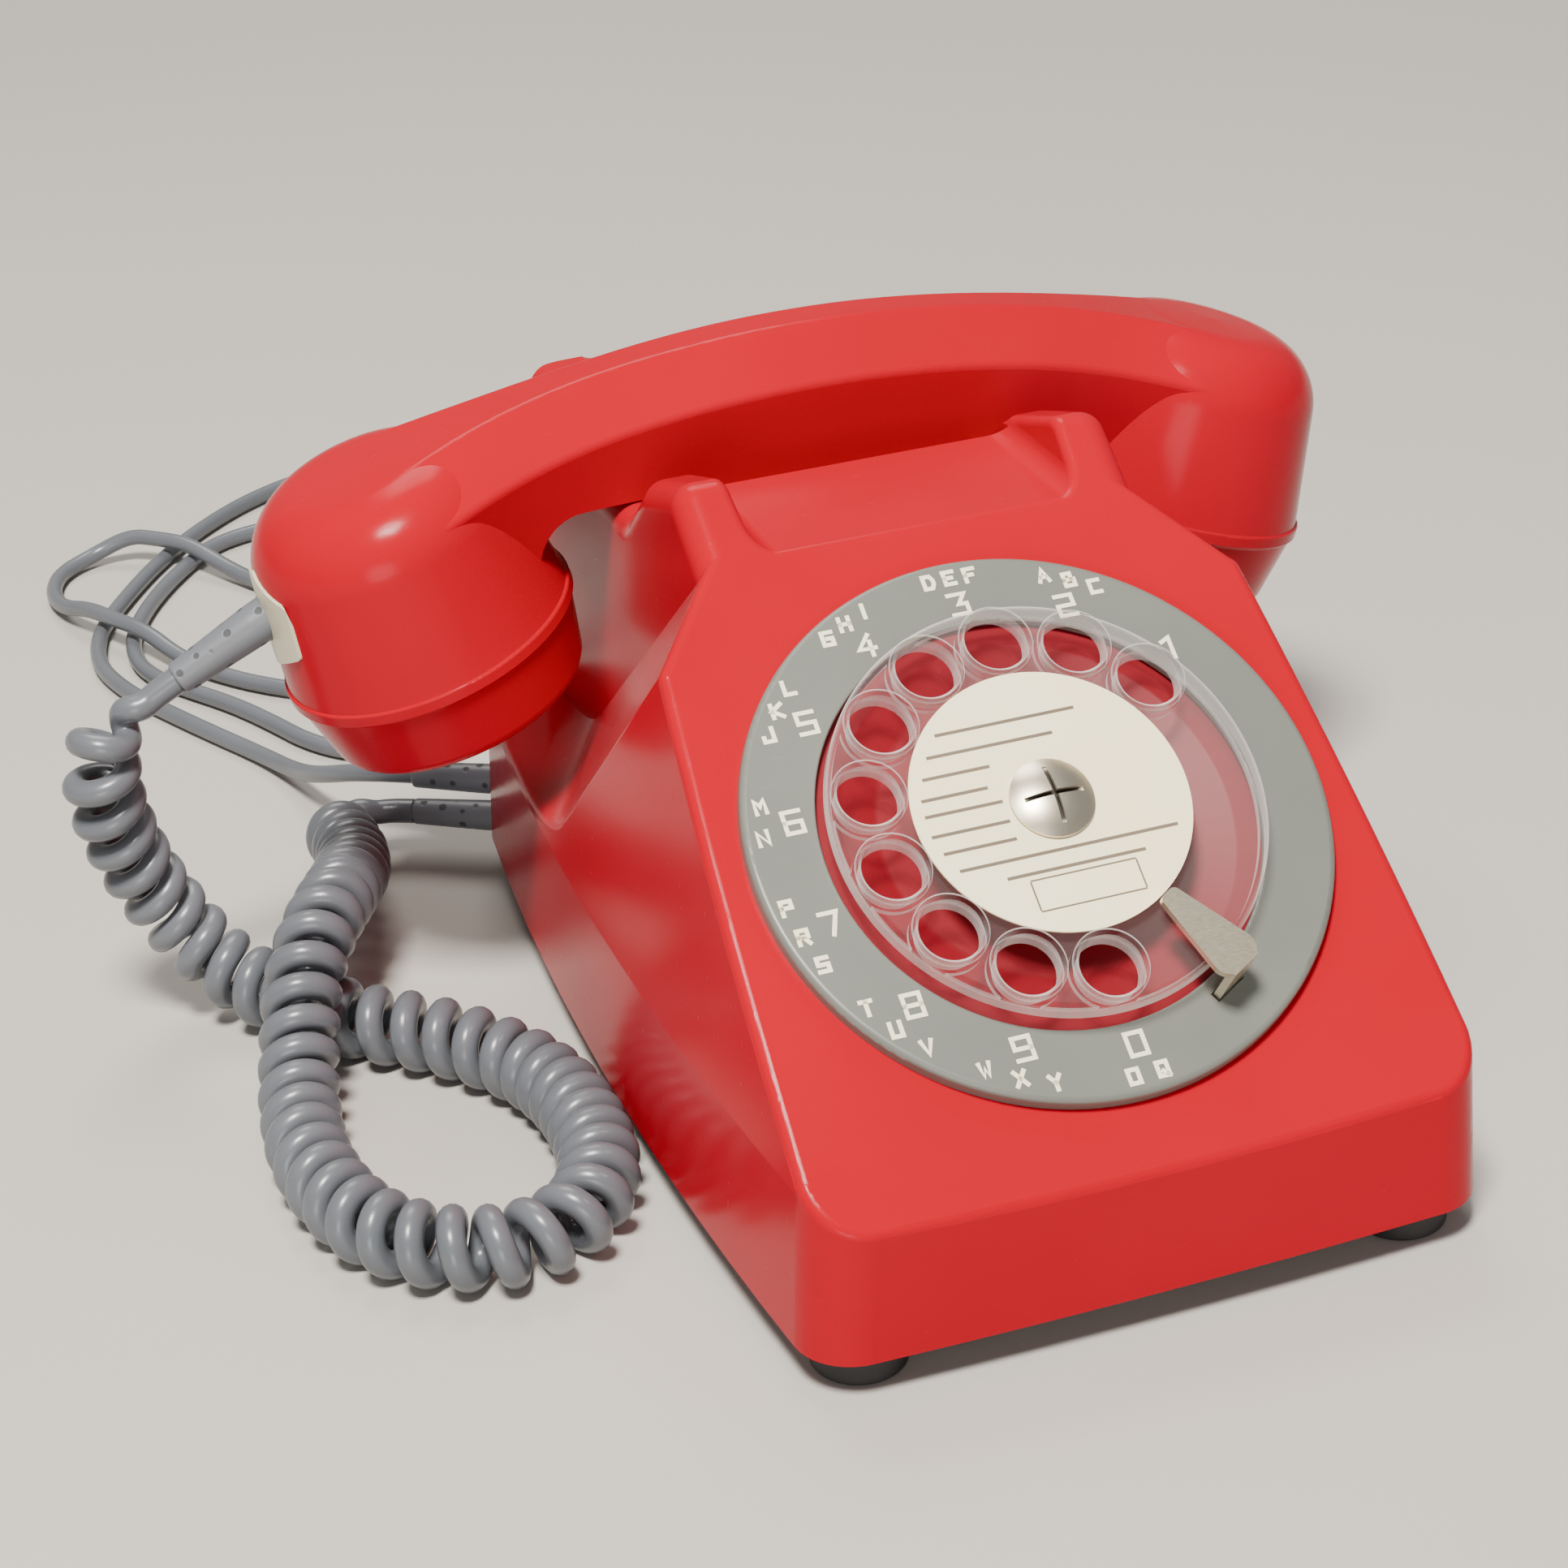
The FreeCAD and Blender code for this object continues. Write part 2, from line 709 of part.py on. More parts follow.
def board_screws():
    """Four small screws, from above the board into its spacers."""
    screw = cross_screw(PIVOT_R, BOARD + SPACER - 0.6, 2 * PIVOT_R, 1.4)
    screw.rotate(ORIGIN, X_AXIS, 180)
    top = FLOOR_Z + SPACER + BOARD
    return Part.Compound([shifted(screw, x, y, top) for x, y in board_corners()])


def induction_coil():
    """Speech transformer: a laminated frame with a wound bobbin through its window."""
    top = FLOOR_Z + SPACER + BOARD
    half = CORE_WIDE / 2
    front, rear = CORE_Y - CORE_LONG / 2, CORE_Y + CORE_LONG / 2
    low, high = top + CORE_BAR, top + CORE_HIGH - CORE_BAR
    opening = half - CORE_BAR
    frame = brick((CORE_X - half, CORE_X + half), (front, rear), (top, top + CORE_HIGH))
    frame = frame.cut(brick((CORE_X - opening, CORE_X + opening), (2 * front, 0), (low, high)))
    wound = opening - FIT
    bobbin = prism([
        (CORE_X - wound, low, 2), (CORE_X + wound, low, 2),
        (CORE_X + wound, high - FIT, 2), (CORE_X - wound, high - FIT, 2),
    ], in_xz(front - BOBBIN_OVER), Vector(0, CORE_LONG + 2 * BOBBIN_OVER, 0))
    return joined([frame, bobbin])


def capacitor():
    """Box capacitor standing on the board."""
    top = FLOOR_Z + SPACER + BOARD
    wide, long, high = CAPACITOR
    block = Part.makeBox(wide, long, high, Vector(CAPACITOR_X - wide / 2, CAPACITOR_Y - long / 2, top))
    return block.makeFillet(CAPACITOR_ROUND, block.Edges)


def terminal_block():
    """Row of screw terminals for the cords' wires, with a wall on either side of each."""
    top = FLOOR_Z + SPACER + BOARD
    seat = top + TERMINAL_BASE
    half = TERMINALS * TERMINAL_STEP / 2
    front = BOARD_FRONT_Y + TERMINAL_IN
    rear = front + TERMINAL_DEEP
    rows = [brick((-half, half), (front, rear), (top, seat))]
    for index in range(TERMINALS + 1):
        x = index * TERMINAL_STEP - half
        span = (max(x - TERMINAL_WALL / 2, -half), min(x + TERMINAL_WALL / 2, half))
        rows.append(brick(span, (front, rear), (seat, seat + TERMINAL_WALL_HIGH)))
    for index in range(TERMINALS):
        spot = Vector((index + 0.5) * TERMINAL_STEP - half, (front + rear) / 2, seat)
        rows.append(rod(TERMINAL_SCREW_R, spot, spot + Vector(0, 0, TERMINAL_SCREW)))
    return joined(rows)


def dial_case():
    """Cup behind the panel with a flange on it, a ledge for the plate and the shaft's bearing."""
    inner = CASE_R - CASE_WALL
    bore = SHAFT_END_R + RUNNING_FIT
    boss = 1.7 * SHAFT_END_R
    low = -CASE_DEPTH - CASE_WALL
    case = turned([
        (bore, low), (CASE_R, low), (CASE_R, 0), (FLANGE_R, 0), (FLANGE_R, FLANGE),
        (inner, FLANGE), (inner, -FIT), (LEDGE_R, -FIT), (LEDGE_R, -FIT - LEDGE),
        (inner, -FIT - LEDGE), (inner, -CASE_DEPTH), (boss, -CASE_DEPTH),
        (boss, -CASE_DEPTH + 4), (bore, -CASE_DEPTH + 4),
    ])
    return on_panel(case)


def dial_plate():
    """Dished plate that shows through the finger holes."""
    outer = CASE_R - CASE_WALL - FIT
    top = DISH - FIT
    bore = SHAFT_R + FIT
    return on_panel(turned([
        (outer, -FIT), (outer, top), (LEDGE_R - 1, top, 2), (LEDGE_R - 8, top - DISH_DROP, 4),
        (bore, top - DISH_DROP), (bore, -FIT - DISH_DROP), (LEDGE_R - 8, -FIT - DISH_DROP, 4),
        (LEDGE_R - 1, -FIT, 2),
    ]))


def number_ring():
    """Ring around the dial, with a skirt to the panel and a slot for the finger stop."""
    ring = turned([
        (RING_BORE, FLANGE), (RING_BORE, RING_TOP, 0.4), (RING_R, RING_TOP, 1.2), (RING_R, 0),
        (RING_R - 1.4, 0), (RING_R - 1.4, FLANGE),
    ])
    wide = STOP_TAB_HALF + FIT
    slot = brick((STOP_OUT_R - STOP - FIT, STOP_OUT_R + FIT), (-wide, wide), (0, 2 * RING_TOP))
    slot.rotate(ORIGIN, Z_AXIS, STOP_ANGLE)
    return on_panel(ring.cut(slot))


def finger_stop():
    """Bent strip: a tapering arm over the finger wheel and a leg down to the case's flange."""
    low = CARD_TOP + STOP_LIFT
    arm = prism([
        (STOP_TIP_R, -STOP_TIP_HALF, 1.2), (STOP_OUT_R, -STOP_OUT_HALF, 3),
        (STOP_OUT_R, STOP_OUT_HALF, 3), (STOP_TIP_R, STOP_TIP_HALF, 1.2),
    ], in_xy(low), Vector(0, 0, STOP))
    leg = brick((STOP_OUT_R - STOP, STOP_OUT_R), (-STOP_TAB_HALF, STOP_TAB_HALF), (FLANGE, low + STOP))
    stop = joined([arm, leg])
    stop.rotate(ORIGIN, Z_AXIS, STOP_ANGLE)
    return on_panel(stop)


def finger_wheel():
    """Wheel with ten finger holes, each in a flared collar, and a turned-down rim."""
    low = WHEEL_TOP - WHEEL
    rim = low - WHEEL_RIM_DROP
    top = WHEEL_TOP + COLLAR_RISE
    wheel = turned([
        (SHAFT_END_R + SCREW_FIT, low), (WHEEL_R - WHEEL_RIM, low), (WHEEL_R - WHEEL_RIM, rim),
        (WHEEL_R, rim), (WHEEL_R, WHEEL_TOP, 1.2), (SHAFT_END_R + SCREW_FIT, WHEEL_TOP),
    ])
    collar = turned([
        (0, low - COLLAR_DROP), (HOLE_R + COLLAR, low - COLLAR_DROP), (HOLE_R + COLLAR, top, COLLAR / 2),
        (0, top),
    ])
    hole = turned([
        (0, rim), (HOLE_R, rim), (HOLE_R, top - HOLE_FLARE), (HOLE_R + HOLE_FLARE, top), (0, top),
    ])
    spots = []
    for index in range(HOLE_COUNT):
        angle = math.radians(HOLE_FIRST + HOLE_STEP * index)
        spots.append((HOLE_PITCH_R * math.cos(angle), HOLE_PITCH_R * math.sin(angle), 0))
    wheel = wheel.fuse([shifted(collar, *spot) for spot in spots])
    return on_panel(wheel.cut([shifted(hole, *spot) for spot in spots]).removeSplitter())


def number_card():
    """Round card in the middle of the wheel."""
    return on_panel(tube(CARD_R, SHAFT_END_R + SCREW_FIT, WHEEL_TOP, CARD_TOP))


def dome_nut():
    """Domed nut with a cross recess that holds card and wheel on the shaft."""
    rise = NUT - NUT_EDGE
    ball = (NUT_R ** 2 + rise ** 2) / (2 * rise)
    top = CARD_TOP + NUT
    nut = Part.makeCylinder(NUT_R, NUT, Vector(0, 0, CARD_TOP))
    nut = nut.common(Part.makeSphere(ball, Vector(0, 0, top - ball)))
    long, wide = NUT_SLOT_LONG / 2, NUT_SLOT / 2
    nut = nut.cut(brick((-long, long), (-wide, wide), (top - NUT_SLOT_DEEP, top)))
    return on_panel(nut.cut(brick((-wide, wide), (-long, long), (top - NUT_SLOT_DEEP, top))))


def dial_shaft():
    """Stepped shaft through the dial, with a collar under the gear and one under the cam."""
    low = WHEEL_TOP - WHEEL
    collar = 1.5 * SHAFT_R
    gear_foot = GEAR_H - GEAR / 2
    cam_foot = CAM_H - GEAR / 2
    boss_top = -CASE_DEPTH + 4
    return on_panel(turned([
        (0, -CASE_DEPTH - CASE_WALL), (SHAFT_END_R, -CASE_DEPTH - CASE_WALL),
        (SHAFT_END_R, boss_top + FIT), (collar, boss_top + FIT), (collar, cam_foot),
        (SHAFT_R, cam_foot), (SHAFT_R, gear_foot - 1.2), (collar, gear_foot - 1.2),
        (collar, gear_foot), (SHAFT_R, gear_foot), (SHAFT_R, low - 2), (1.2 * collar, low - 2),
        (1.2 * collar, low), (SHAFT_END_R, low), (SHAFT_END_R, CARD_TOP), (0, CARD_TOP),
    ]))


def toothed(count, depth_in, depth_out):
    """Flat gear outline with straight-sided teeth, the first tooth on +X."""
    pitch = GEAR_MODULE * count / 2
    step = 2 * math.pi / count
    flank = TOOTH_SHARE * step / 2
    points = []
    for index in range(count):
        for radius, lean in ((pitch - depth_in, -1.5), (pitch + depth_out, -0.6),
                             (pitch + depth_out, 0.6), (pitch - depth_in, 1.5)):
            angle = index * step + lean * flank
            points.append(Vector(radius * math.cos(angle), radius * math.sin(angle), 0))
    return Part.Face(Part.makePolygon(points + points[:1]))


def main_gear():
    """Large gear on the shaft, lightened by five holes."""
    low = Vector(0, 0, GEAR_H - GEAR / 2)
    gear = toothed(GEAR_TEETH, GEAR_MODULE * 1.25, GEAR_MODULE).extrude(Vector(0, 0, GEAR))
    gear.translate(low)
    holes = [Part.makeCylinder(SHAFT_R + RUNNING_FIT, 2 * GEAR, low)]
    for index in range(5):
        angle = 2 * math.pi * index / 5
        spot = Vector(14.5 * math.cos(angle), 14.5 * math.sin(angle), 0)
        holes.append(Part.makeCylinder(4.2, 2 * GEAR, low + spot))
    return on_panel(gear.cut(holes))


def governor_reach():
    """Distance from the dial's axis to the governor's axis."""
    return GEAR_MODULE * (GEAR_TEETH + PINION_TEETH) / 2 + MESH_PLAY


def governor():
    """Speed governor: a pinion, a thin axle and two weights on a cross bar."""
    low = -CASE_DEPTH + FIT
    top = GEAR_H + 4.5
    pinion = toothed(PINION_TEETH, GEAR_MODULE * 1.1, 0.7 * GEAR_MODULE).extrude(Vector(0, 0, GEAR + 1))
    pinion.translate(Vector(0, 0, GEAR_H - (GEAR + 1) / 2))
    weights = tube(GOVERNOR_R, GOVERNOR_R - 3, GOVERNOR_H - 2, GOVERNOR_H + 2)
    weights = weights.cut(brick((-4, 4), (-20, 20), (GOVERNOR_H - 5, GOVERNOR_H + 5)))
    bar = brick((-GOVERNOR_R + 1, GOVERNOR_R - 1), (-1.5, 1.5), (GOVERNOR_H - 1, GOVERNOR_H + 1))
    axle = Part.makeCylinder(PIVOT_R, top - low, Vector(0, 0, low))
    whole = joined([axle, pinion, bar] + weights.Solids)
    return on_panel(shifted(whole, 0, governor_reach(), 0))


def governor_bracket():
    """Bracket with a bearing at each end of the governor's axle."""
    near, far = governor_reach() - 4, 40.3
    top = GEAR_H + 4.7
    bracket = joined([
        brick((-4.5, 4.5), (near, far), (-CASE_DEPTH, -CASE_DEPTH + 1.6)),
        brick((-4.5, 4.5), (far - 1.6, far), (-CASE_DEPTH, top)),
        brick((-4.5, 4.5), (near, far), (top - 1.6, top)),
    ])
    hole = Vector(0, governor_reach(), -CASE_DEPTH)
    return on_panel(bracket.cut(Part.makeCylinder(PIVOT_R + RUNNING_FIT, CASE_DEPTH, hole)))


def pulse_cam():
    """Cam with ten lobes that opens the pulse contacts."""
    corners = []
    for index in range(2 * CAM_LOBES):
        angle = math.pi * index / CAM_LOBES
        radius = CAM_R + (0.9 if index % 2 else -0.9)
        corners.append((radius * math.cos(angle), radius * math.sin(angle), 0.5))
    low = CAM_H - GEAR / 2
    cam = prism(corners, in_xy(low), Vector(0, 0, GEAR))
    return on_panel(cam.cut(Part.makeCylinder(SHAFT_R + RUNNING_FIT, 2 * GEAR, Vector(0, 0, low))))


def pulse_contacts():
    """Pair of contact springs beside the cam, in an insulating block."""
    near = CAM_R + 2
    block = brick((near, near + 8), (4, 12), (-CASE_DEPTH, CAM_H + 3))
    springs = []
    for gap in (0, 3.5):
        springs.append(brick((near + gap, near + gap + 0.6), (-12, 4), (CAM_H - 2, CAM_H + 2)))
    return on_panel(joined([block] + springs))


def return_spring():
    """Flat spiral spring around the shaft, with a tail to the governor's bracket."""
    count = 2 * SPRING_TURNS
    low = GEAR_H + GEAR / 2 + 0.8
    spiral = []
    for half in (SPRING_STRIP / 2, -SPRING_STRIP / 2):
        stations = [(-1) ** k * (SPRING_R + k * SPRING_STEP / 2 + half) for k in range(count + 1)]
        arcs = []
        for k in range(count):
            centre = (stations[k] + stations[k + 1]) / 2
            crown = abs(stations[k] - stations[k + 1]) / 2 * (-1) ** k
            arcs.append(bowed((stations[k], 0, low), (centre, crown, low), (stations[k + 1], 0, low)))
        spiral.append((stations, arcs))
    (outer, out_arcs), (inner, in_arcs) = spiral
    caps = []
    for k in (0, count):
        ends = (Vector(outer[k], 0, low), Vector(inner[k], 0, low))
        caps.append(Part.LineSegment(*ends).toShape())
    outline = Part.Wire(Part.__sortEdges__(out_arcs + in_arcs + caps))
    strip = Part.Face(outline).extrude(Vector(0, 0, SPRING_HIGH))
    strip.rotate(ORIGIN, Z_AXIS, 90)
    end = SPRING_R + count * SPRING_STEP / 2 - SPRING_STRIP / 2
    tail = brick((-SPRING_STRIP, 0), (end, governor_reach() - 4), (low, low + SPRING_HIGH))
    return on_panel(joined([strip, tail]))


def grip_section(angle):
    """Faceted section of the grip at an angle along its top arc, wider towards the cups."""
    reach = max(0, abs(angle) - FLARE_FROM) / (GRIP_SWING - FLARE_FROM)
    flare = reach ** 2
    top = GRIP_TOP_HALF + FLARE_TOP * flare
    side = GRIP_SIDE_HALF + FLARE_SIDE * flare
    under = GRIP_UNDER_HALF + FLARE_UNDER * flare
    shoulder_z = GRIP_TOP_Z - GRIP_SIDE_DROP
    deep_z = GRIP_UNDER_Z - GRIP_DEEP
    section = rounded([
        (HANDSET_Y - top, GRIP_TOP_Z, GRIP_ROUND),
        (HANDSET_Y - side, shoulder_z, GRIP_ROUND),
        (HANDSET_Y - under, deep_z),
        (HANDSET_Y + under, deep_z),
        (HANDSET_Y + side, shoulder_z, GRIP_ROUND),
        (HANDSET_Y + top, GRIP_TOP_Z, GRIP_ROUND),
    ], in_yz(0))
    section.rotate(Vector(0, HANDSET_Y, GRIP_TOP_Z - GRIP_ARC), Y_AXIS, angle)
    return section


def grip():
    """Bowed grip: faceted sections along its top arc that widen into the cups, flat underneath."""
    half = [GRIP_SWING, (GRIP_SWING + FLARE_FROM) / 2, FLARE_FROM, FLARE_FROM / 2]
    angles = [-angle for angle in half] + [0] + half[::-1]
    bar = Part.makeLoft([grip_section(angle) for angle in angles], True)
    under = CUP_X - CUP_SEAM_R + UNDER_ROUND
    below = prism([
        (-under, 0), (under, 0), (under, GRIP_UNDER_Z, UNDER_ROUND), (-under, GRIP_UNDER_Z, UNDER_ROUND),
    ], in_xz(0), Vector(0, BODY_DEPTH, 0))
    return bar.cut(below)


def cup_cone(margin):
    """Cup's outside about its own axis, moved outwards by a margin."""
    slope = (CUP_SEAM_R - CUP_NECK_R) / CUP_NECK
    top_r = CUP_SEAM_R - slope * CUP_TOP
    return turned([
        (0, 0), (CUP_SEAM_R + margin, 0), (top_r + margin, CUP_TOP + margin, CUP_ROUND + margin),
        (0, CUP_TOP + margin + 0.6),
    ])


def entry_outline(margin):
    """Prism through the left cup's outer end, with the cord plate's six-cornered outline."""
    corners = [
        (-ENTRY_HALF, -ENTRY_SHOULDER, 1), (0, -ENTRY_HALF_HIGH, 3), (ENTRY_HALF, -ENTRY_SHOULDER, 1),
        (ENTRY_HALF, ENTRY_SHOULDER, 1), (0, ENTRY_HALF_HIGH, 3), (-ENTRY_HALF, ENTRY_SHOULDER, 1),
    ]
    prism_shape = prism(grown(corners, margin), in_yz(-2 * CUP_SEAM_R), Vector(1.2 * CUP_SEAM_R, 0, 0))
    return shifted(prism_shape, 0, 0, ENTRY_S)


def sleeve_frame():
    """Where the curly cord leaves the left cup: a point on the cup and the way out."""
    slope = math.atan((CUP_SEAM_R - CUP_NECK_R) / CUP_NECK)
    radius = CUP_SEAM_R - (CUP_SEAM_R - CUP_NECK_R) / CUP_NECK * ENTRY_S
    tilt = Rotation(Y_AXIS, -CUP_TILT)
    point = tilt.multVec(Vector(-radius, 0, ENTRY_S)) + Vector(-CUP_X, HANDSET_Y, CUP_SEAM_Z)
    out = tilt.multVec(Vector(-math.cos(slope), 0, math.sin(slope)))
    return point, Vector(out.x, 0, -abs(out.z) - SLEEVE_DROOP).normalize()


def handset_shell():
    """Grip and both cups in one hollow moulding, open under the cups."""
    shell = grip()
    for side in (-1, 1):
        shell = shell.fuse(on_cup(cup_cone(0), side))
    shell = shell.removeSplitter()
    rooms = []
    for side in (-1, 1):
        room = Part.makeCylinder(CUP_SEAM_R - CUP_WALL, CAP_COLLAR + 2)
        room = room.fuse(Part.makeCylinder(CUP_SEAM_R - CUP_WALL - 3.5, CUP_DEEP))
        rooms.append(on_cup(room, side))
    centre = Vector(0, HANDSET_Y, GRIP_TOP_Z - GRIP_ARC)
    spot = Vector(0, HANDSET_Y, GRIP_TOP_Z - 2.2 * GRIP_BORE)
    bore = Part.Face(Part.Wire(Part.makeCircle(GRIP_BORE, spot, X_AXIS)))
    bore.rotate(centre, Y_AXIS, -GRIP_SWING)
    rooms.append(bore.revolve(centre, Y_AXIS, 2 * GRIP_SWING))
    pocket = entry_outline(SCREW_FIT).common(cup_cone(4).cut(cup_cone(-ENTRY_DEEP)))
    rooms.append(on_cup(pocket, -1))
    point, out = sleeve_frame()
    rooms.append(rod(SLEEVE_R + SLEEVE_FIT, point - out * 12, point + out * 6))
    return shell.cut(rooms).removeSplitter()


def cord_entry_plate():
    """Bare plate let into the left cup's outer end, around the cord's sleeve."""
    plate = entry_outline(0).common(cup_cone(ENTRY_PROUD).cut(cup_cone(SCREW_FIT - ENTRY_DEEP)))
    point, out = sleeve_frame()
    return on_cup(plate, -1).cut(rod(SLEEVE_R + SLEEVE_FIT, point - out * 12, point + out * 6))


def cap(side):
    """Screwed cap under a cup, with a lip at the seam, a collar inside and sound holes."""
    lip = CUP_SEAM_R + CAP_LIP
    collar = CUP_SEAM_R - CUP_WALL - CAP_GAP
    form = turned([
        (0, -CAP_HEIGHT), (CAP_FACE_R, -CAP_HEIGHT, CAP_ROUND), (CUP_SEAM_R - 0.2, -3.2),
        (lip, -2.4), (lip, 0, 0.5), (collar, 0), (collar, CAP_COLLAR), (collar - 1.6, CAP_COLLAR),
        (collar - 1.6, -3), (CAP_FACE_R - 2.4, CAP_FACE - CAP_HEIGHT), (0, CAP_FACE - CAP_HEIGHT),
    ])
    holes = [Vector(0, 0, -2 * CAP_HEIGHT)]
    for index in range(SOUND_RING_COUNT):
        angle = 2 * math.pi * index / SOUND_RING_COUNT
        spot = Vector(math.cos(angle), math.sin(angle), 0) * SOUND_RING_R
        holes.append(spot + Vector(0, 0, -2 * CAP_HEIGHT))
    form = form.cut([Part.makeCylinder(SOUND_HOLE_R, 1.5 * CAP_HEIGHT, spot) for spot in holes])
    return on_cup(form, side)


def capsule(side):
    """Round sound capsule that stands on the inside of a cap's face."""
    low = CAP_FACE - CAP_HEIGHT
    form = turned([
        (0, low), (CAPSULE_R, low), (CAPSULE_R, low + 4), (CAPSULE_R - 2, low + 5.5),
        (CAPSULE_R - 2, low + CAPSULE, 1.5), (0, low + CAPSULE),
    ])
    return on_cup(form, side)


def plungers():
    """Two round plungers in the cradle that the grip holds down."""
    low = SADDLE_Z - PLUNGER_HIGH
    plunger = turned([(0, low), (PLUNGER_R, low), (PLUNGER_R, SADDLE_Z, 1.5), (0, SADDLE_Z)])
    return [shifted(plunger, side * PLUNGER_X, HANDSET_Y, 0) for side in (-1, 1)]


def hook_bar():
    """Bar under the cradle that both plungers stand on, sliding on two guides."""
    top = SADDLE_Z - PLUNGER_HIGH
    half = HOOK_BAR_WIDE / 2
    bar = prism([
        (-HOOK_BAR_HALF, HANDSET_Y - half, 3), (HOOK_BAR_HALF, HANDSET_Y - half, 3),
        (HOOK_BAR_HALF, HANDSET_Y + half, 3), (-HOOK_BAR_HALF, HANDSET_Y + half, 3),
    ], in_xy(top - HOOK_BAR), Vector(0, 0, HOOK_BAR))
    for side in (-1, 1):
        low = Vector(side * GUIDE_X, HANDSET_Y, top - 2 * HOOK_BAR)
        bar = bar.cut(rod(GUIDE_R + GUIDE_FIT, low, low + Vector(0, 0, 4 * HOOK_BAR)))
    return bar


def hook_bracket():
    """Bent bracket from the base plate that carries the hook contacts."""
    shelf = SADDLE_Z - PLUNGER_HIGH - HOOK_BAR - SWITCH_HIGH
    half = BRACKET_HALF
    return joined([
        brick((-half, half), (BRACKET_Y - 12, BRACKET_Y + BRACKET), (FLOOR_Z, FLOOR_Z + BRACKET)),
        brick((-half, half), (BRACKET_Y, BRACKET_Y + BRACKET), (FLOOR_Z, shelf)),
        brick((-half, half), (HANDSET_Y + 8, BRACKET_Y + BRACKET), (shelf - BRACKET, shelf)),
    ])


def switch_contacts():
    """Stack of contact springs in a block, with their tips under the hook bar."""
    shelf = SADDLE_Z - PLUNGER_HIGH - HOOK_BAR - SWITCH_HIGH
    block = brick((-9, 9), (BRACKET_Y - 12, BRACKET_Y), (shelf, shelf + 7))
    springs = []
    for x in (-6, 0, 6):
        for lift in (2.0, 5.0):
            springs.append(brick((x - 1.5, x + 1.5), (HANDSET_Y - 3, BRACKET_Y - 12),
                                 (shelf + lift, shelf + lift + 0.6)))
    return joined([block] + springs)


def ringer_frame():
    """Frame of the bell: floor, yoke for the coils, pin for the clapper and posts for the gongs."""
    top = FLOOR_Z + PLATE
    wide = COIL_X + COIL_R
    floor = brick((-wide, wide), (RINGER_FRONT_Y, CLAPPER_PIVOT_Y + FRAME_OVER), (FLOOR_Z, top))
    reach = GONG_X + 2 * GONG_POST_R
    arms = brick((-reach, reach), (GONG_Y - FRAME_OVER, GONG_Y + FRAME_OVER), (FLOOR_Z, top))
    spine = brick((-FRAME_OVER, FRAME_OVER), (CLAPPER_PIVOT_Y, GONG_Y), (FLOOR_Z, top))
    yoke = brick((-wide, wide), (RINGER_FRONT_Y, RINGER_FRONT_Y + YOKE), (FLOOR_Z, CLAPPER_Z + COIL_R))
    foot = Vector(0, CLAPPER_PIVOT_Y, top)
    pin = rod(CLAPPER_PIN_R, foot, foot + Vector(0, 0, CLAPPER_Z - top + 5))
    seat = rod(CLAPPER_HUB_R, foot, foot + Vector(0, 0, CLAPPER_Z - 3 - top))
    posts = []
    for side in (-1, 1):
        low = Vector(side * GONG_X, GONG_Y, top)
        high = Vector(side * GONG_X, GONG_Y, GONG_RIM_Z + GONG_HIGH - GONG_SHEET)
        posts.append(rod(GONG_POST_R, low, high))
    frame = joined([floor, arms, spine, yoke, pin, seat] + posts)
    for side in (-1, 1):
        high = Vector(side * GONG_X, GONG_Y, GONG_RIM_Z + GONG_HIGH)
        frame = frame.cut(rod(PIVOT_R + SCREW_FIT, high - Vector(0, 0, 12), high))
    return frame


def ringer_coils():
    """Two wound bobbins on iron cores, fixed to the yoke."""
    start = RINGER_FRONT_Y + YOKE
    coils = []
    for side in (-1, 1):
        base = Vector(side * COIL_X, start, CLAPPER_Z)
        along = Vector(0, 1, 0)
        coils.append(joined([
            rod(COIL_R, base, base + along * COIL_FLANGE),
            rod(COIL_R - 1, base, base + along * COIL_LONG),
            rod(COIL_R, base + along * (COIL_LONG - COIL_FLANGE), base + along * COIL_LONG),
            rod(COIL_CORE_R, base, base + along * (COIL_LONG + 2)),
        ]))
    return Part.Compound(coils)


def clapper():
    """Armature on its pin with a rod and a ball between the gongs."""
    hub_low, hub_high = CLAPPER_Z - 3, CLAPPER_Z + 3
    hub = tube(CLAPPER_HUB_R, CLAPPER_PIN_R + RUNNING_FIT, hub_low, hub_high)
    hub = shifted(hub, 0, CLAPPER_PIVOT_Y, 0)
    face = RINGER_FRONT_Y + YOKE + COIL_LONG + 2 + ARMATURE_GAP
    plate = brick((-COIL_X - 4, COIL_X + 4), (face, face + 2), (hub_low, hub_high))
    neck = brick((-2, 2), (face + 2, CLAPPER_PIVOT_Y - CLAPPER_PIN_R - 0.6), (hub_low, hub_high))
    tip = Vector(0, GONG_Y, CLAPPER_Z)
    arm = rod(0.9, Vector(0, CLAPPER_PIVOT_Y + CLAPPER_PIN_R + 0.6, CLAPPER_Z), tip)
    return joined([hub, plate, neck, arm, Part.makeSphere(CLAPPER_BALL_R, tip)])


def gong(side):
    """Bell cup with its mouth down, on a post."""
    top = GONG_RIM_Z + GONG_HIGH
    inner = GONG_R - GONG_SHEET
    low = GONG_RIM_Z
    form = turned([
        (PIVOT_R + SCREW_FIT, top), (PIVOT_R + SCREW_FIT, top - GONG_SHEET),
        (inner - 3, top - GONG_SHEET, 10), (inner, low), (GONG_R, low), (GONG_R - 3, top, 11),
    ])
    return shifted(form, side * GONG_X, GONG_Y, 0)


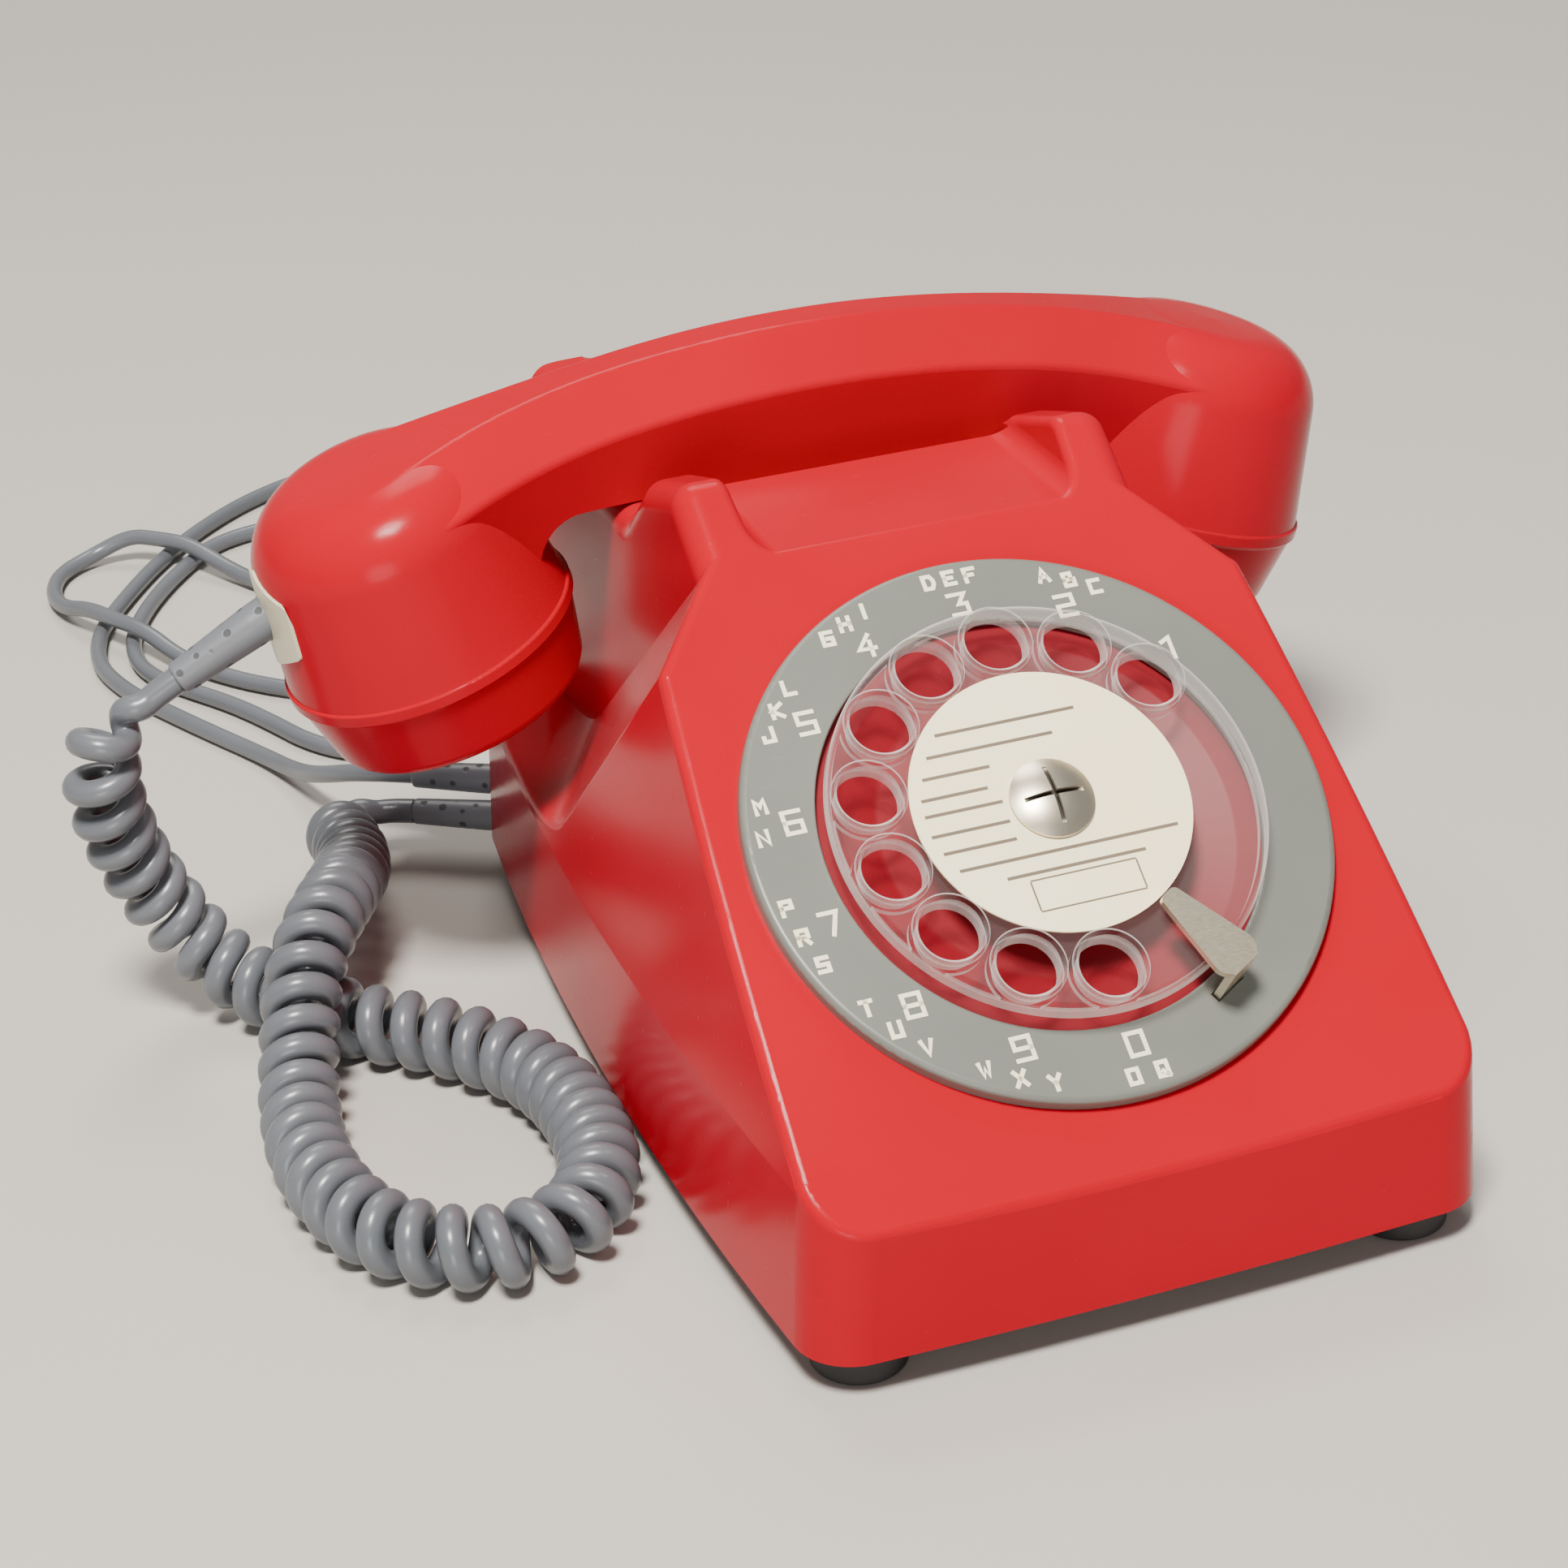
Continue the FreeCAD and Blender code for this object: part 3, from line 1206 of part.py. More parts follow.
def gong_screws():
    """A screw through the top of each gong into its post."""
    screw = cross_screw(PIVOT_R, GONG_SHEET + GONG_SCREW, 3 * PIVOT_R, GONG_SCREW_HEAD)
    screw.rotate(ORIGIN, X_AXIS, 180)
    top = GONG_RIM_Z + GONG_HIGH
    return Part.Compound([shifted(screw, side * GONG_X, GONG_Y, top) for side in (-1, 1)])


def relief(radius, tip, inside, long):
    """Smooth tapering sleeve about Z from inside a wall at Z = 0 to its tip."""
    return turned([
        (0, -inside), (radius, -inside), (radius, RELIEF_COLLAR), (tip, long, RELIEF_ROUND), (0, long),
    ])


def relief_on(frame, shape):
    """Puts a sleeve made about Z on a place and a way out."""
    point, out = frame
    return moved(shape, Placement(point, Rotation(Z_AXIS, out)))


def bent_path(points):
    """Straight runs through points joined by arcs, with the least radius of those arcs."""
    ends = [(points[0], None, points[0])]
    least = math.inf
    for before, point, after in zip(points, points[1:], points[2:]):
        back, onward = before - point, after - point
        reach = 0.45 * min(back.Length, onward.Length)
        back.normalize()
        onward.normalize()
        half = back.getAngle(onward) / 2
        radius = reach * math.tan(half)
        least = min(least, radius)
        middle = point + (back + onward).normalize() * (radius / math.sin(half) - radius)
        ends.append((point + back * reach, middle, point + onward * reach))
    ends.append((points[-1], None, points[-1]))
    edges = []
    for (start, middle, stop), (onward, _, _) in zip(ends, ends[1:] + [(None, None, None)]):
        if middle is not None:
            edges.append(Part.Arc(start, middle, stop).toShape())
        if onward is not None:
            edges.append(Part.LineSegment(stop, onward).toShape())
    return edges, least


def tube_along(edges, diameter):
    """Round tube along joined edges, as one pipe shell."""
    path = Part.Wire(edges)
    first = edges[0]
    start = first.valueAt(first.FirstParameter)
    way = first.tangentAt(first.FirstParameter)
    ring = Part.Wire(Part.makeCircle(diameter / 2, start, way))
    return path.makePipeShell([ring], True, False)


def biarc(start, leave, stop, arrive):
    """Two arc edges from one point and direction to another point and direction."""
    span = stop - start
    total = leave + arrive
    square = 2 * (leave.dot(arrive) - 1)
    linear = -2 * span.dot(total)
    constant = span.dot(span)
    if abs(square) < 1e-9:
        reach = -constant / linear
    else:
        reach = (-linear - math.sqrt(linear ** 2 - 4 * square * constant)) / (2 * square)
    knot = (start + leave * reach + stop - arrive * reach) * 0.5
    edges = []
    for a, vertex, b in ((start, start + leave * reach, knot), (knot, stop - arrive * reach, stop)):
        weight = (b - a).Length / (2 * reach)
        middle = (a + b + vertex * 2 * weight) * (1 / (2 + 2 * weight))
        edges.append(Part.Arc(a, middle, b).toShape())
    return edges


def exit_tip(frame, long):
    """End of a cord's sleeve, where the cord itself starts."""
    point, out = frame
    return point + out * long


def curly_route():
    """Middle line of the curly cord: down from the handset, in a loop on the table, to the base."""
    top, base = sleeve_frame(), relief_frames()[1]
    start, stop = exit_tip(top, SLEEVE_LONG), exit_tip(base, RELIEF_LONG)
    route = [start, start + top[1] * 9]
    for x, y, z in (
        (-145.5, 59, 66), (-146, 61, 55), (-143.5, 64, 43), (-139.5, 66, 31.5),
        (-134, 66, 20.5), (-128, 61.5, 12), (-121, 53.5, 7.8), (-113.5, 44.5, 7.6),
        (-105, 35.5, 7.6), (-96, 28, 7.6), (-87, 19, 7.6), (-80.5, 7, 7.6), (-77.5, -7, 7.6),
        (-77.5, -22, 7.6), (-80.5, -37, 7.6), (-88.5, -49.5, 7.6), (-101, -54.5, 7.6),
        (-112.5, -48, 7.6), (-120, -35, 7.6), (-124, -19.5, 7.6), (-125, -3, 7.6),
        (-124, 13, 10), (-121, 27.5, 16.5), (-117, 40, 22.8), (-111.5, 51, 23.2),
        (-105.5, 64, 20), (-100.5, 79, 15.5), (-96.5, 94, 12), (-93.5, 107.5, 11),
    ):
        route.append(Vector(x, y, z))
    return route + [stop + base[1] * 9, stop]


def line_route():
    """Middle line of the line cord, from the base over the table to the coil behind the body."""
    exit_frame = relief_frames()[0]
    start = exit_tip(exit_frame, RELIEF_LONG)
    low, over = LINE_WIRE / 2 + 0.2, LINE_WIRE * 1.8
    coil_y = COIL_Y0 + COIL_INNER_R + COIL_STEP * COIL_LAYER_TURNS
    route = [start, start + exit_frame[1] * 12]
    for x, y, z in (
        (-89.5, 138, 10.5), (-91.5, 154, 4.4), (-96, 170, low), (-104, 186, low),
        (-112, 203, low), (-119, 219, low), (-122.5, 237, low), (-118.5, 256, low),
        (-108.5, 274, low), (-97, 292, low), (-83, 309, low), (-66, 324, low), (-46, 334, low),
        (-29, 332, low), (-17.5, 323, low), (-18, 309, low), (-30, 300, low), (-47, 299.5, low),
        (-64, 303.5, low), (-80, 299, low), (-90, 287.5, low), (-99, 275, low),
        (-107.5, 259.5, low), (-113, 243, low), (-112.5, 226, low), (-104.5, 212.5, low),
        (-96.5, 200, low), (-90, 186, low), (-84.5, 172, low), (-75.5, 161, low),
        (-62, 160.5, low), (-53.5, 171, low), (-57, 184, low), (-69.5, 193, low), (-83.5, 203, low),
        (-95.5, 217, low), (-103.5, 230, 3.4), (-109, 240, over), (-114.5, 250, over),
        (-120, 260.5, over), (-124.5, 272, 3.4), (-125.5, 285, low), (-121.5, 297, low),
        (-112, 304, 2.6), (-101.5, 302.5, over), (-95, 297, over), (-88, 289.5, over), (-80.5, 277.5, 3.4),
        (-73, 264, low), (-63, 249.5, low), (-51, 235.5, low), (-38, 222, low),
        (-24, 208, 2.8), (-10, 196.5, COIL_FLOOR), (3, coil_y, COIL_FLOOR),
        (COIL_X0, coil_y, COIL_FLOOR),
    ):
        route.append(Vector(x, y, z))
    return route


def stations_along(edges, step):
    """Even samples of a path as (distance, point, direction, bend)."""
    samples = []
    run = 0.0
    for edge in edges:
        bend = 1 / edge.Curve.Radius if edge.Curve.TypeId == "Part::GeomCircle" else 0.0
        count = max(2, round(edge.Length / step))
        for index in range(count):
            spot = edge.getParameterByLength(edge.Length * index / count)
            samples.append((run + edge.Length * index / count, edge.valueAt(spot), edge.tangentAt(spot), bend))
        run += edge.Length
    last = edges[-1]
    samples.append((run, last.valueAt(last.LastParameter), last.tangentAt(last.LastParameter), 0.0))
    return samples


def curl_pitch(run, total, bend):
    """Room along the middle line for one turn: wider at the ends and where the line bends."""
    pitch = CURL_TIGHT if TIGHT_FROM < run < TIGHT_TO else CURL_OPEN
    if min(run, total - run) < WIRE + CURL_LEAD:
        pitch = CURL_LEAD
    return max(pitch, (WIRE + CURL_CLEAR) / (1 - CURL_R * bend))


def curl_spine(samples):
    """The middle line with a steady pair of cross directions and the turns counted so far."""
    total = samples[-1][0]
    side = samples[0][2].cross(Y_AXIS).normalize()
    spine = []
    turns = 0.0
    for index, (run, point, way, _) in enumerate(samples):
        side = (side - way * side.dot(way)).normalize()
        near = samples[max(0, index - CURL_LOOK):index + CURL_LOOK]
        bend = max(sample[3] for sample in near)
        if index and WIRE <= run <= total - WIRE:
            step = run - max(samples[index - 1][0], WIRE)
            turns += step / curl_pitch(run, total, bend)
        spine.append((turns, point, way, side, way.cross(side)))
    return spine


def curl_edges(route):
    """Arcs of a curly wire around a route, two to each quarter turn, with straight ends."""
    path, least = bent_path(route)
    spine = curl_spine(stations_along(path, 0.5))
    quarters = round(4 * spine[-1][0])
    scale = quarters / 4 / spine[-1][0]
    spots = [index for index, station in enumerate(spine) if 0 < station[0] < spine[-1][0]]
    spine = spine[spots[0] - 1:spots[-1] + 2]

    def wire_at(turns):
        low, high = 0, len(spine) - 1
        while high - low > 1:
            half = (low + high) // 2
            low, high = (half, high) if spine[half][0] * scale <= turns else (low, half)
        before, after = spine[low], spine[high]
        share = (turns / scale - before[0]) / (after[0] - before[0])
        point, _, side, up = [a + (b - a) * share for a, b in zip(before[1:], after[1:])]
        swell = min(turns, quarters / 4 - turns, 1.0)
        radius = CURL_R * swell * swell * (3 - 2 * swell)
        angle = 2 * math.pi * turns
        return point + side * (radius * math.cos(angle)) + up * (radius * math.sin(angle))

    knots = [wire_at(index / 4) for index in range(quarters + 1)]
    small = 0.004
    ways = [(wire_at(k / 4 + small) - wire_at(k / 4 - small)).normalize() for k in range(1, quarters)]
    first, last = path[0].tangentAt(path[0].FirstParameter), path[-1].tangentAt(path[-1].LastParameter)
    ways = [first] + ways + [last]
    edges = [Part.LineSegment(route[0], knots[0]).toShape()]
    for k in range(quarters):
        edges += biarc(knots[k], ways[k], knots[k + 1], ways[k + 1])
    edges.append(Part.LineSegment(knots[-1], route[-1]).toShape())
    print("curly cord:", quarters / 4, "turns, least bend of its middle line", round(least, 1))
    return edges


def coil_edges():
    """Loops of the line cord in two layers: in at the floor, a climb, and out on top of it."""
    inner, step = COIL_INNER_R, COIL_STEP / 2
    halves = 2 * COIL_LAYER_TURNS
    radii = [inner + step * (halves - k) for k in range(halves + 1)]
    radii += [inner + step * k for k in range(halves + 1)]
    heights = [COIL_FLOOR] * (halves + 1) + [COIL_FLOOR + COIL_STEP] * (halves + 1)
    edges = []
    points, ways = [], []
    for k, (radius, height) in enumerate(zip(radii, heights)):
        turn = (-1) ** k
        points.append(Vector(COIL_X0, COIL_Y0 + turn * radius, height))
        ways.append(Vector(turn, 0, 0))
    for k in range(len(points) - 1):
        quarter = (radii[k] + radii[k + 1]) / 2
        middle = Vector(COIL_X0 + ways[k].x * quarter, COIL_Y0 + ways[k].x * (radii[k] - radii[k + 1]) / 2,
                        (heights[k] + heights[k + 1]) / 2)
        across = Vector(0, -ways[k].x, (heights[k + 1] - heights[k]) / (2 * quarter)).normalize()
        edges += biarc(points[k], ways[k], middle, across)
        edges += biarc(middle, across, points[k + 1], ways[k + 1])
    landing = points[-1] + ways[-1] * 30
    landing.z = PLUG[2] / 2 + 0.2
    edges += biarc(points[-1], ways[-1], landing, ways[-1])
    edges.append(Part.LineSegment(landing, landing + ways[-1] * LINE_WIRE).toShape())
    return edges


def wire_gap(edges, diameter):
    """Least gap between stretches of a wire that are over three diameters apart along it."""
    points = [sample[:2] for sample in stations_along(edges, diameter / 3)]
    least = math.inf
    for index, (run, point) in enumerate(points):
        for other_run, other in points[index + 8:]:
            if other_run - run > 3 * diameter:
                least = min(least, (other - point).Length)
    return least - diameter


def cord_tube(name, edges, diameter):
    """Tube of a cord, with its length, gap to itself and volume printed."""
    solid = tube_along(edges, diameter)
    length = sum(edge.Length for edge in edges)
    share = solid.Volume / (length * math.pi * diameter ** 2 / 4)
    print(name, "length", round(length), "gap", round(wire_gap(edges, diameter), 2),
          "volume share", round(share, 4))
    return solid


def line_cord():
    """Line cord from the base to the coil."""
    edges, least = bent_path(line_route())
    print("line cord: least bend", round(least, 1))
    return cord_tube("line_cord", edges, LINE_WIRE)


def cord_tie():
    """Strap around the loops of the coil."""
    low, high = 0.1, COIL_FLOOR + COIL_STEP + LINE_WIRE / 2 + FIT
    near = COIL_INNER_R - LINE_WIRE / 2 - FIT
    far = COIL_INNER_R + COIL_STEP * COIL_LAYER_TURNS + LINE_WIRE / 2 + FIT
    half = TIE_WIDE / 2
    outside = [(near - TIE, low, 2), (far + TIE, low, 2), (far + TIE, high + TIE, 2), (near - TIE, high + TIE, 2)]
    inside = [(near, low + TIE, 1), (far, low + TIE, 1), (far, high, 1), (near, high, 1)]
    along = Vector(0, TIE_WIDE, 0)
    strap = prism(outside, in_xz(-half), along).cut(prism(inside, in_xz(-half), along))
    return shifted(strap, COIL_X0, COIL_Y0, 0)


def line_plug():
    """Flat plug on the line cord's end, with a finger grip and three contact blades."""
    end = coil_edges()[-1]
    tip = end.valueAt(end.LastParameter)
    wide, long, high = PLUG
    half = wide / 2
    body = prism([
        (tip.x, tip.y - half / 2, 2), (tip.x - 6, tip.y - half, 3), (tip.x - long, tip.y - half, 1),
        (tip.x - long, tip.y + half, 1), (tip.x - 6, tip.y + half, 3), (tip.x, tip.y + half / 2, 2),
    ], in_xy(tip.z - high / 2), Vector(0, 0, high))
    blades = []
    for lift in (-4, 0, 4):
        blades.append(brick((tip.x - long - 9, tip.x - long), (tip.y + lift - 0.4, tip.y + lift + 0.4),
                            (tip.z - 2.5, tip.z + 2.5)))
    return joined([body] + blades)


def pieces():
    """Every named piece of the telephone."""
    left_plunger, right_plunger = plungers()
    sleeve = relief(SLEEVE_R, RELIEF_R, SLEEVE_INSIDE, SLEEVE_LONG)
    strain = relief(RELIEF_R, RELIEF_TIP_R, RELIEF_INSIDE, RELIEF_LONG)
    return {
        "housing": housing(),
        "base_plate": base_plate(),
        "rubber_feet": rubber_feet(),
        "base_screws": base_screws(),
        "circuit_board": circuit_board(),
        "board_screws": board_screws(),
        "induction_coil": induction_coil(),
        "capacitor": capacitor(),
        "terminal_block": terminal_block(),
        "dial_case": dial_case(),
        "dial_plate": dial_plate(),
        "number_ring": number_ring(),
        "finger_stop": finger_stop(),
        "governor_bracket": governor_bracket(),
        "pulse_contacts": pulse_contacts(),
        "return_spring": return_spring(),
        "finger_wheel": finger_wheel(),
        "number_card": number_card(),
        "dome_nut": dome_nut(),
        "dial_shaft": dial_shaft(),
        "main_gear": main_gear(),
        "pulse_cam": pulse_cam(),
        "governor": governor(),
        "handset_shell": handset_shell(),
        "cord_entry_plate": cord_entry_plate(),
        "mouthpiece_cap": cap(-1),
        "earpiece_cap": cap(1),
        "microphone": capsule(-1),
        "receiver": capsule(1),
        "handset_strain_relief": relief_on(sleeve_frame(), sleeve),
        "plunger_left": left_plunger,
        "plunger_right": right_plunger,
        "hook_bar": hook_bar(),
        "hook_bracket": hook_bracket(),
        "switch_contacts": switch_contacts(),
        "ringer_frame": ringer_frame(),
        "ringer_coils": ringer_coils(),
        "clapper": clapper(),
        "gong_left": gong(-1),
        "gong_right": gong(1),
        "gong_screws": gong_screws(),
        "line_strain_relief": relief_on(relief_frames()[0], strain),
        "cord_strain_relief": relief_on(relief_frames()[1], strain),
        "curly_cord": cord_tube("curly_cord", curl_edges(curly_route()), WIRE),
        "line_cord": line_cord(),
        "line_coil": cord_tube("line_coil", coil_edges(), LINE_WIRE),
        "cord_tie": cord_tie(),
        "line_plug": line_plug(),
    }


os.makedirs("parts", exist_ok=True)
for name, piece in pieces().items():
    if not piece.isValid():
        print("check the shape of", name)
    piece.exportStep("parts/" + name + ".step")
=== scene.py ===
"""Looks of a red rotary desk telephone: finishes, cords, dial markings, light and camera."""
import math

import bpy
import numpy as np
from mathutils import Matrix


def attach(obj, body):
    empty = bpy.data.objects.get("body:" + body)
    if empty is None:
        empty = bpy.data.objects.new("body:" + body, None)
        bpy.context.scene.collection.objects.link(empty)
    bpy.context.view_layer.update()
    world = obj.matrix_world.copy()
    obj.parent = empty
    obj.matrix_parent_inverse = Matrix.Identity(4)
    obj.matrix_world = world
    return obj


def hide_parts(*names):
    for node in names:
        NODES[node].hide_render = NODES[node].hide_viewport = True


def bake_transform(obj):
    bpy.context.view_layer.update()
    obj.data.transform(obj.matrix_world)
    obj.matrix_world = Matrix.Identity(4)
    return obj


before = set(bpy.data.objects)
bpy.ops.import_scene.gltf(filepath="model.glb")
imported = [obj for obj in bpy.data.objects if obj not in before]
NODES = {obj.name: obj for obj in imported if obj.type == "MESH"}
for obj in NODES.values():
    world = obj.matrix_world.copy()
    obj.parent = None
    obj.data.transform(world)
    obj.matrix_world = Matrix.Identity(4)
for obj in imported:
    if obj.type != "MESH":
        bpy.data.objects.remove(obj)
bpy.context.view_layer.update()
MM = 0.001

# The panel's lower and upper edge, as depth and height, and how far up it the dial's middle is.
PANEL_FOOT = (-111.0, 32.1)
PANEL_TOP = (7.0, 120.05)
DIAL_ALONG = 66.4
# The dial's own axes: across, up the panel, and out of it, from the middle of the panel's face.
SLOPE = math.atan2(PANEL_TOP[1] - PANEL_FOOT[1], PANEL_TOP[0] - PANEL_FOOT[0])
DIAL_UP = np.array([0.0, math.cos(SLOPE), math.sin(SLOPE)])
DIAL_OUT = np.array([0.0, -math.sin(SLOPE), math.cos(SLOPE)])
DIAL_ACROSS = np.array([1.0, 0.0, 0.0])
DIAL_MIDDLE = np.array([0.0, *PANEL_FOOT]) + DIAL_ALONG * DIAL_UP
RING_TOP = 3.1
CARD_TOP = 10.4
# The nut's dome is part of a ball, and its cross is cut below the ball's face.
NUT_HIGH = 3.0
NUT_BALL = 14.23
NUT_MIDDLE = tuple((DIAL_MIDDLE + (CARD_TOP + NUT_HIGH - NUT_BALL) * DIAL_OUT) * MM)
# Painted shade in the cross starts this deep below the ball's face, with an edge this soft.
CROSS_DEEP = 0.45
CROSS_SOFT = 0.3

# Patterns of the finishes: blots to the metre of a moulded skin and of drawn metal, the depth of
# such fine relief in metres, and the dimples of the sleeves: their step, and their size in steps.
SKIN_BLOTS = 2600.0
DRAWN_BLOTS = 900.0
FINE_DEEP = 0.0002
DOT_STEP = 0.0033
DOT_SIZE = 0.24
DOT_SOFT = 0.06
DOT_DEEP = 0.0004

# Signs of the ring, in millimetres and in degrees round the dial.
DIGIT_R = 44.4
LETTER_R = 50.0
DIGIT_TALL = 4.9
LETTER_TALL = 3.3
FIRST_DIGIT = 38.2
DIGIT_STEP = 25.95
LETTER_STEPS = (0.0, 5.6, 4.6, 5.2, 6.0, 7.0, 6.8, 7.0, 7.0, 6.2)
# Letters run clockwise before this angle and the other way after it, to read rightwards or down.
LEFT_FROM = 150.0
LETTERS = ("", "ABC", "DEF", "GHI", "JKL", "MN", "PRS", "TUV", "WXY", "OQ")
# Strokes of the block signs: each point is a column from 0 to 4 and a row from 0 to 6.
STROKES = {
    "0": "00 40 46 06 00", "1": "15 36 30", "2": "06 46 43 03 00 40", "3": "06 46 23 43 40 00",
    "4": "36 02 42|34 30", "5": "46 06 03 43 40 00", "6": "46 06 00 40 43 03", "7": "06 46 20",
    "8": "00 40 46 06 00|03 43", "9": "43 03 06 46 40 00", "A": "00 26 40|12 32",
    "B": "00 40 43 03 00|03 06 36 33", "C": "46 06 00 40", "D": "00 30 42 44 36 06 00",
    "E": "46 06 00 40|03 33", "F": "46 06 00|03 33", "G": "46 06 00 40 43 23", "H": "00 06|40 46|03 43",
    "I": "20 26", "J": "46 40 00 02", "K": "00 06|46 03 40", "L": "06 00 40", "M": "00 06 23 46 40",
    "N": "00 06 40 46", "O": "00 40 46 06 00", "P": "00 06 46 43 03", "Q": "00 40 46 06 00|22 40",
    "R": "00 06 46 43 03|23 40", "S": "46 06 03 43 40 00", "T": "06 46|26 20", "U": "06 00 40 46",
    "V": "06 20 46", "W": "06 10 24 30 46", "X": "00 46|06 40", "Y": "06 23 46|23 20",
}
SIGN_COLUMNS = 4
SIGN_ROWS = 6
SIGN_WIDE = 0.79
STROKE = 0.8
INK = 0.08
LEAST_MITRE = 0.45
# Printing on the card: rules from one place across to another at a height, and a frame.
CARD_RULES = (
    (-16.2, 10.2, 16.4), (-19.1, 4.7, 12.5), (-21.2, -8.6, 8.6), (-22.7, -10.3, 4.7),
    (-23.1, -8.6, 1.6), (-23.2, -8.6, -2.3), (-22.2, -8.6, -5.8), (-20.5, 20.5, -9.5),
    (-12.9, 13.1, -12.8),
)
CARD_FRAME = (-9.1, 10.7, -20.0, -14.1)
RULE_HALF = 0.32
FRAME_HALF = 0.16
PRINT_THICK = 0.02
PRINT_SUNK = 0.05

# The cords' routes, in millimetres, and their lengths in metres. The curls are a little fuller than
# the solid's. Their pitch is given by the distance along the route from the handset.
CURLY_WIRE = 5.4
CURLY_SIDES = 14
CURLY_R = 5.2
CURLY_LEAD = 5.0
CURLY_CLEAR = 0.1
CURLY_SPREAD = 8.2
CURLY_SWELL = 1.8
CURLY_FINE = 5
BEND_POINTS = 101
CURLY_PITCH = (
    (0, 13.0), (11, 10.2), (22, 8.4), (60, 7.6), (148, 7.6), (158, 5.9), (200, 5.9), (215, 7.2),
    (404, 7.2), (416, 12.0), (428, 15.0),
)
CURLY_LIE = 8.0
CURLY_ROUTE = (
    (-129.08, 58.5, 76.96), (-137.08, 58.5, 72.84), (-145.5, 59, 66), (-146, 61, 55),
    (-143.5, 64, 43), (-139.5, 66, 31.5), (-134, 66, 20.5), (-128, 61.5, 12), (-121, 53.5, 8.2),
    (-113.5, 43, CURLY_LIE), (-105, 32.5, CURLY_LIE), (-95.5, 24.5, CURLY_LIE),
    (-86.5, 14, CURLY_LIE), (-79.5, 2, CURLY_LIE), (-76.5, -11, CURLY_LIE), (-76.3, -24, CURLY_LIE),
    (-78.5, -37, CURLY_LIE), (-85.5, -48.5, CURLY_LIE), (-97.5, -53.5, CURLY_LIE),
    (-110, -50, CURLY_LIE), (-120.5, -40, CURLY_LIE), (-125.5, -26, CURLY_LIE),
    (-127, -10, CURLY_LIE), (-125, 6, 8.6), (-121.5, 19, 13), (-117.5, 31, 20), (-112, 41, 24.6),
    (-105.5, 52, 25.2), (-99.5, 66, 21.5), (-94.5, 82, 16), (-92, 97, 12.4), (-92.4, 106, 11.3),
    (-88, 113.8, 10.9), (-81, 114.8, 10.9), (-74.41, 111.07, 10.9),
)
ROUTE_FINE = 64
TUBE_TIP = 0.02
LINE_WIRE = 4.0
LOW = 2.2
OVER = 7.2
LINE_ROUTE = (
    (-72.41, 117.07, 16.6), (-82.59, 123.43, 16.6), (-89.5, 138, 10.5), (-91.5, 154, 4.4),
    (-96, 170, LOW), (-104, 186, LOW), (-112, 203, LOW), (-119, 219, LOW), (-122.5, 237, LOW),
    (-118.5, 256, LOW), (-108.5, 274, LOW), (-97, 292, LOW), (-83, 309, LOW), (-66, 324, LOW),
    (-46, 334, LOW), (-29, 332, LOW), (-17.5, 323, LOW), (-18, 309, LOW), (-30, 300, LOW),
    (-47, 299.5, LOW), (-64, 303.5, LOW), (-80, 299, LOW), (-90, 287.5, LOW), (-99, 275, LOW),
    (-107.5, 259.5, LOW), (-113, 243, LOW), (-112.5, 226, LOW), (-104.5, 212.5, LOW),
    (-96.5, 200, LOW), (-90, 186, LOW), (-84.5, 172, LOW), (-75.5, 161, LOW), (-62, 160.5, LOW),
    (-53.5, 171, LOW), (-57, 184, LOW), (-69.5, 193, LOW), (-83.5, 203, LOW), (-95.5, 217, LOW),
    (-103.5, 230, 3.4), (-109, 240, OVER), (-114.5, 250, OVER), (-120, 260.5, OVER),
    (-124.5, 272, 3.4), (-125.5, 285, LOW), (-121.5, 297, LOW), (-112, 304, 2.6),
    (-101.5, 302.5, OVER), (-95, 297, OVER), (-88, 289.5, OVER), (-80.5, 277.5, 3.4),
    (-73, 264, LOW), (-63, 249.5, LOW), (-51, 235.5, LOW), (-38, 222, LOW), (-24, 208, 2.8),
    (-10, 196.5, 3.5), (3, 189.5, 3.5),
)
COIL_MIDDLE = (16.0, 158.0)
COIL_INNER = 16.5
COIL_STEP = 5.0
COIL_TURNS = 3
COIL_FLOOR = 3.5
COIL_POINTS = 16
COIL_OUT = ((6, 126.5, 8.4), (-4, 126.5, 6.4), (-11, 126.5, 5.2), (-18, 126.5, 5.2))

# The camera, in millimetres, and its view across in degrees.
EYE = (-216.2, -554.9, 361.9)
LOOK = (0.2869, 0.8409, -0.4589)
RIGHT = (0.9373, -0.3454, -0.0469)
VIEW_WIDE = 25.32
# Lights: name, place, aim, width and watts, with the colour of each, and the sky round them.
WARM = (1.0, 0.96, 0.9)
NEUTRAL = (1.0, 0.98, 0.96)
LIGHTS = (
    ("window", (-0.44, -0.64, 1.62), (0.0, 0.0, 0.05), 0.36, 72.0, WARM),
    ("ceiling", (0.1, 1.0, 1.5), (0.0, 0.0, 0.0), 0.8, 16.0, WARM),
    ("front", (-1.2, -2.8, 0.42), (0.0, 0.0, 0.08), 1.2, 36.0, NEUTRAL),
)
SKY = (0.9, 0.92, 0.95, 1.0)
SKY_STRENGTH = 0.28
# The floor, in metres: half its width, where its sweep starts, the sweep's radius and its top.
FLOOR_HALF = 4.0
SWEEP_FROM = 1.6
SWEEP_R = 1.2
SWEEP_STEPS = 13
WALL_TOP = 4.0
FLOOR_DROP = 0.0002


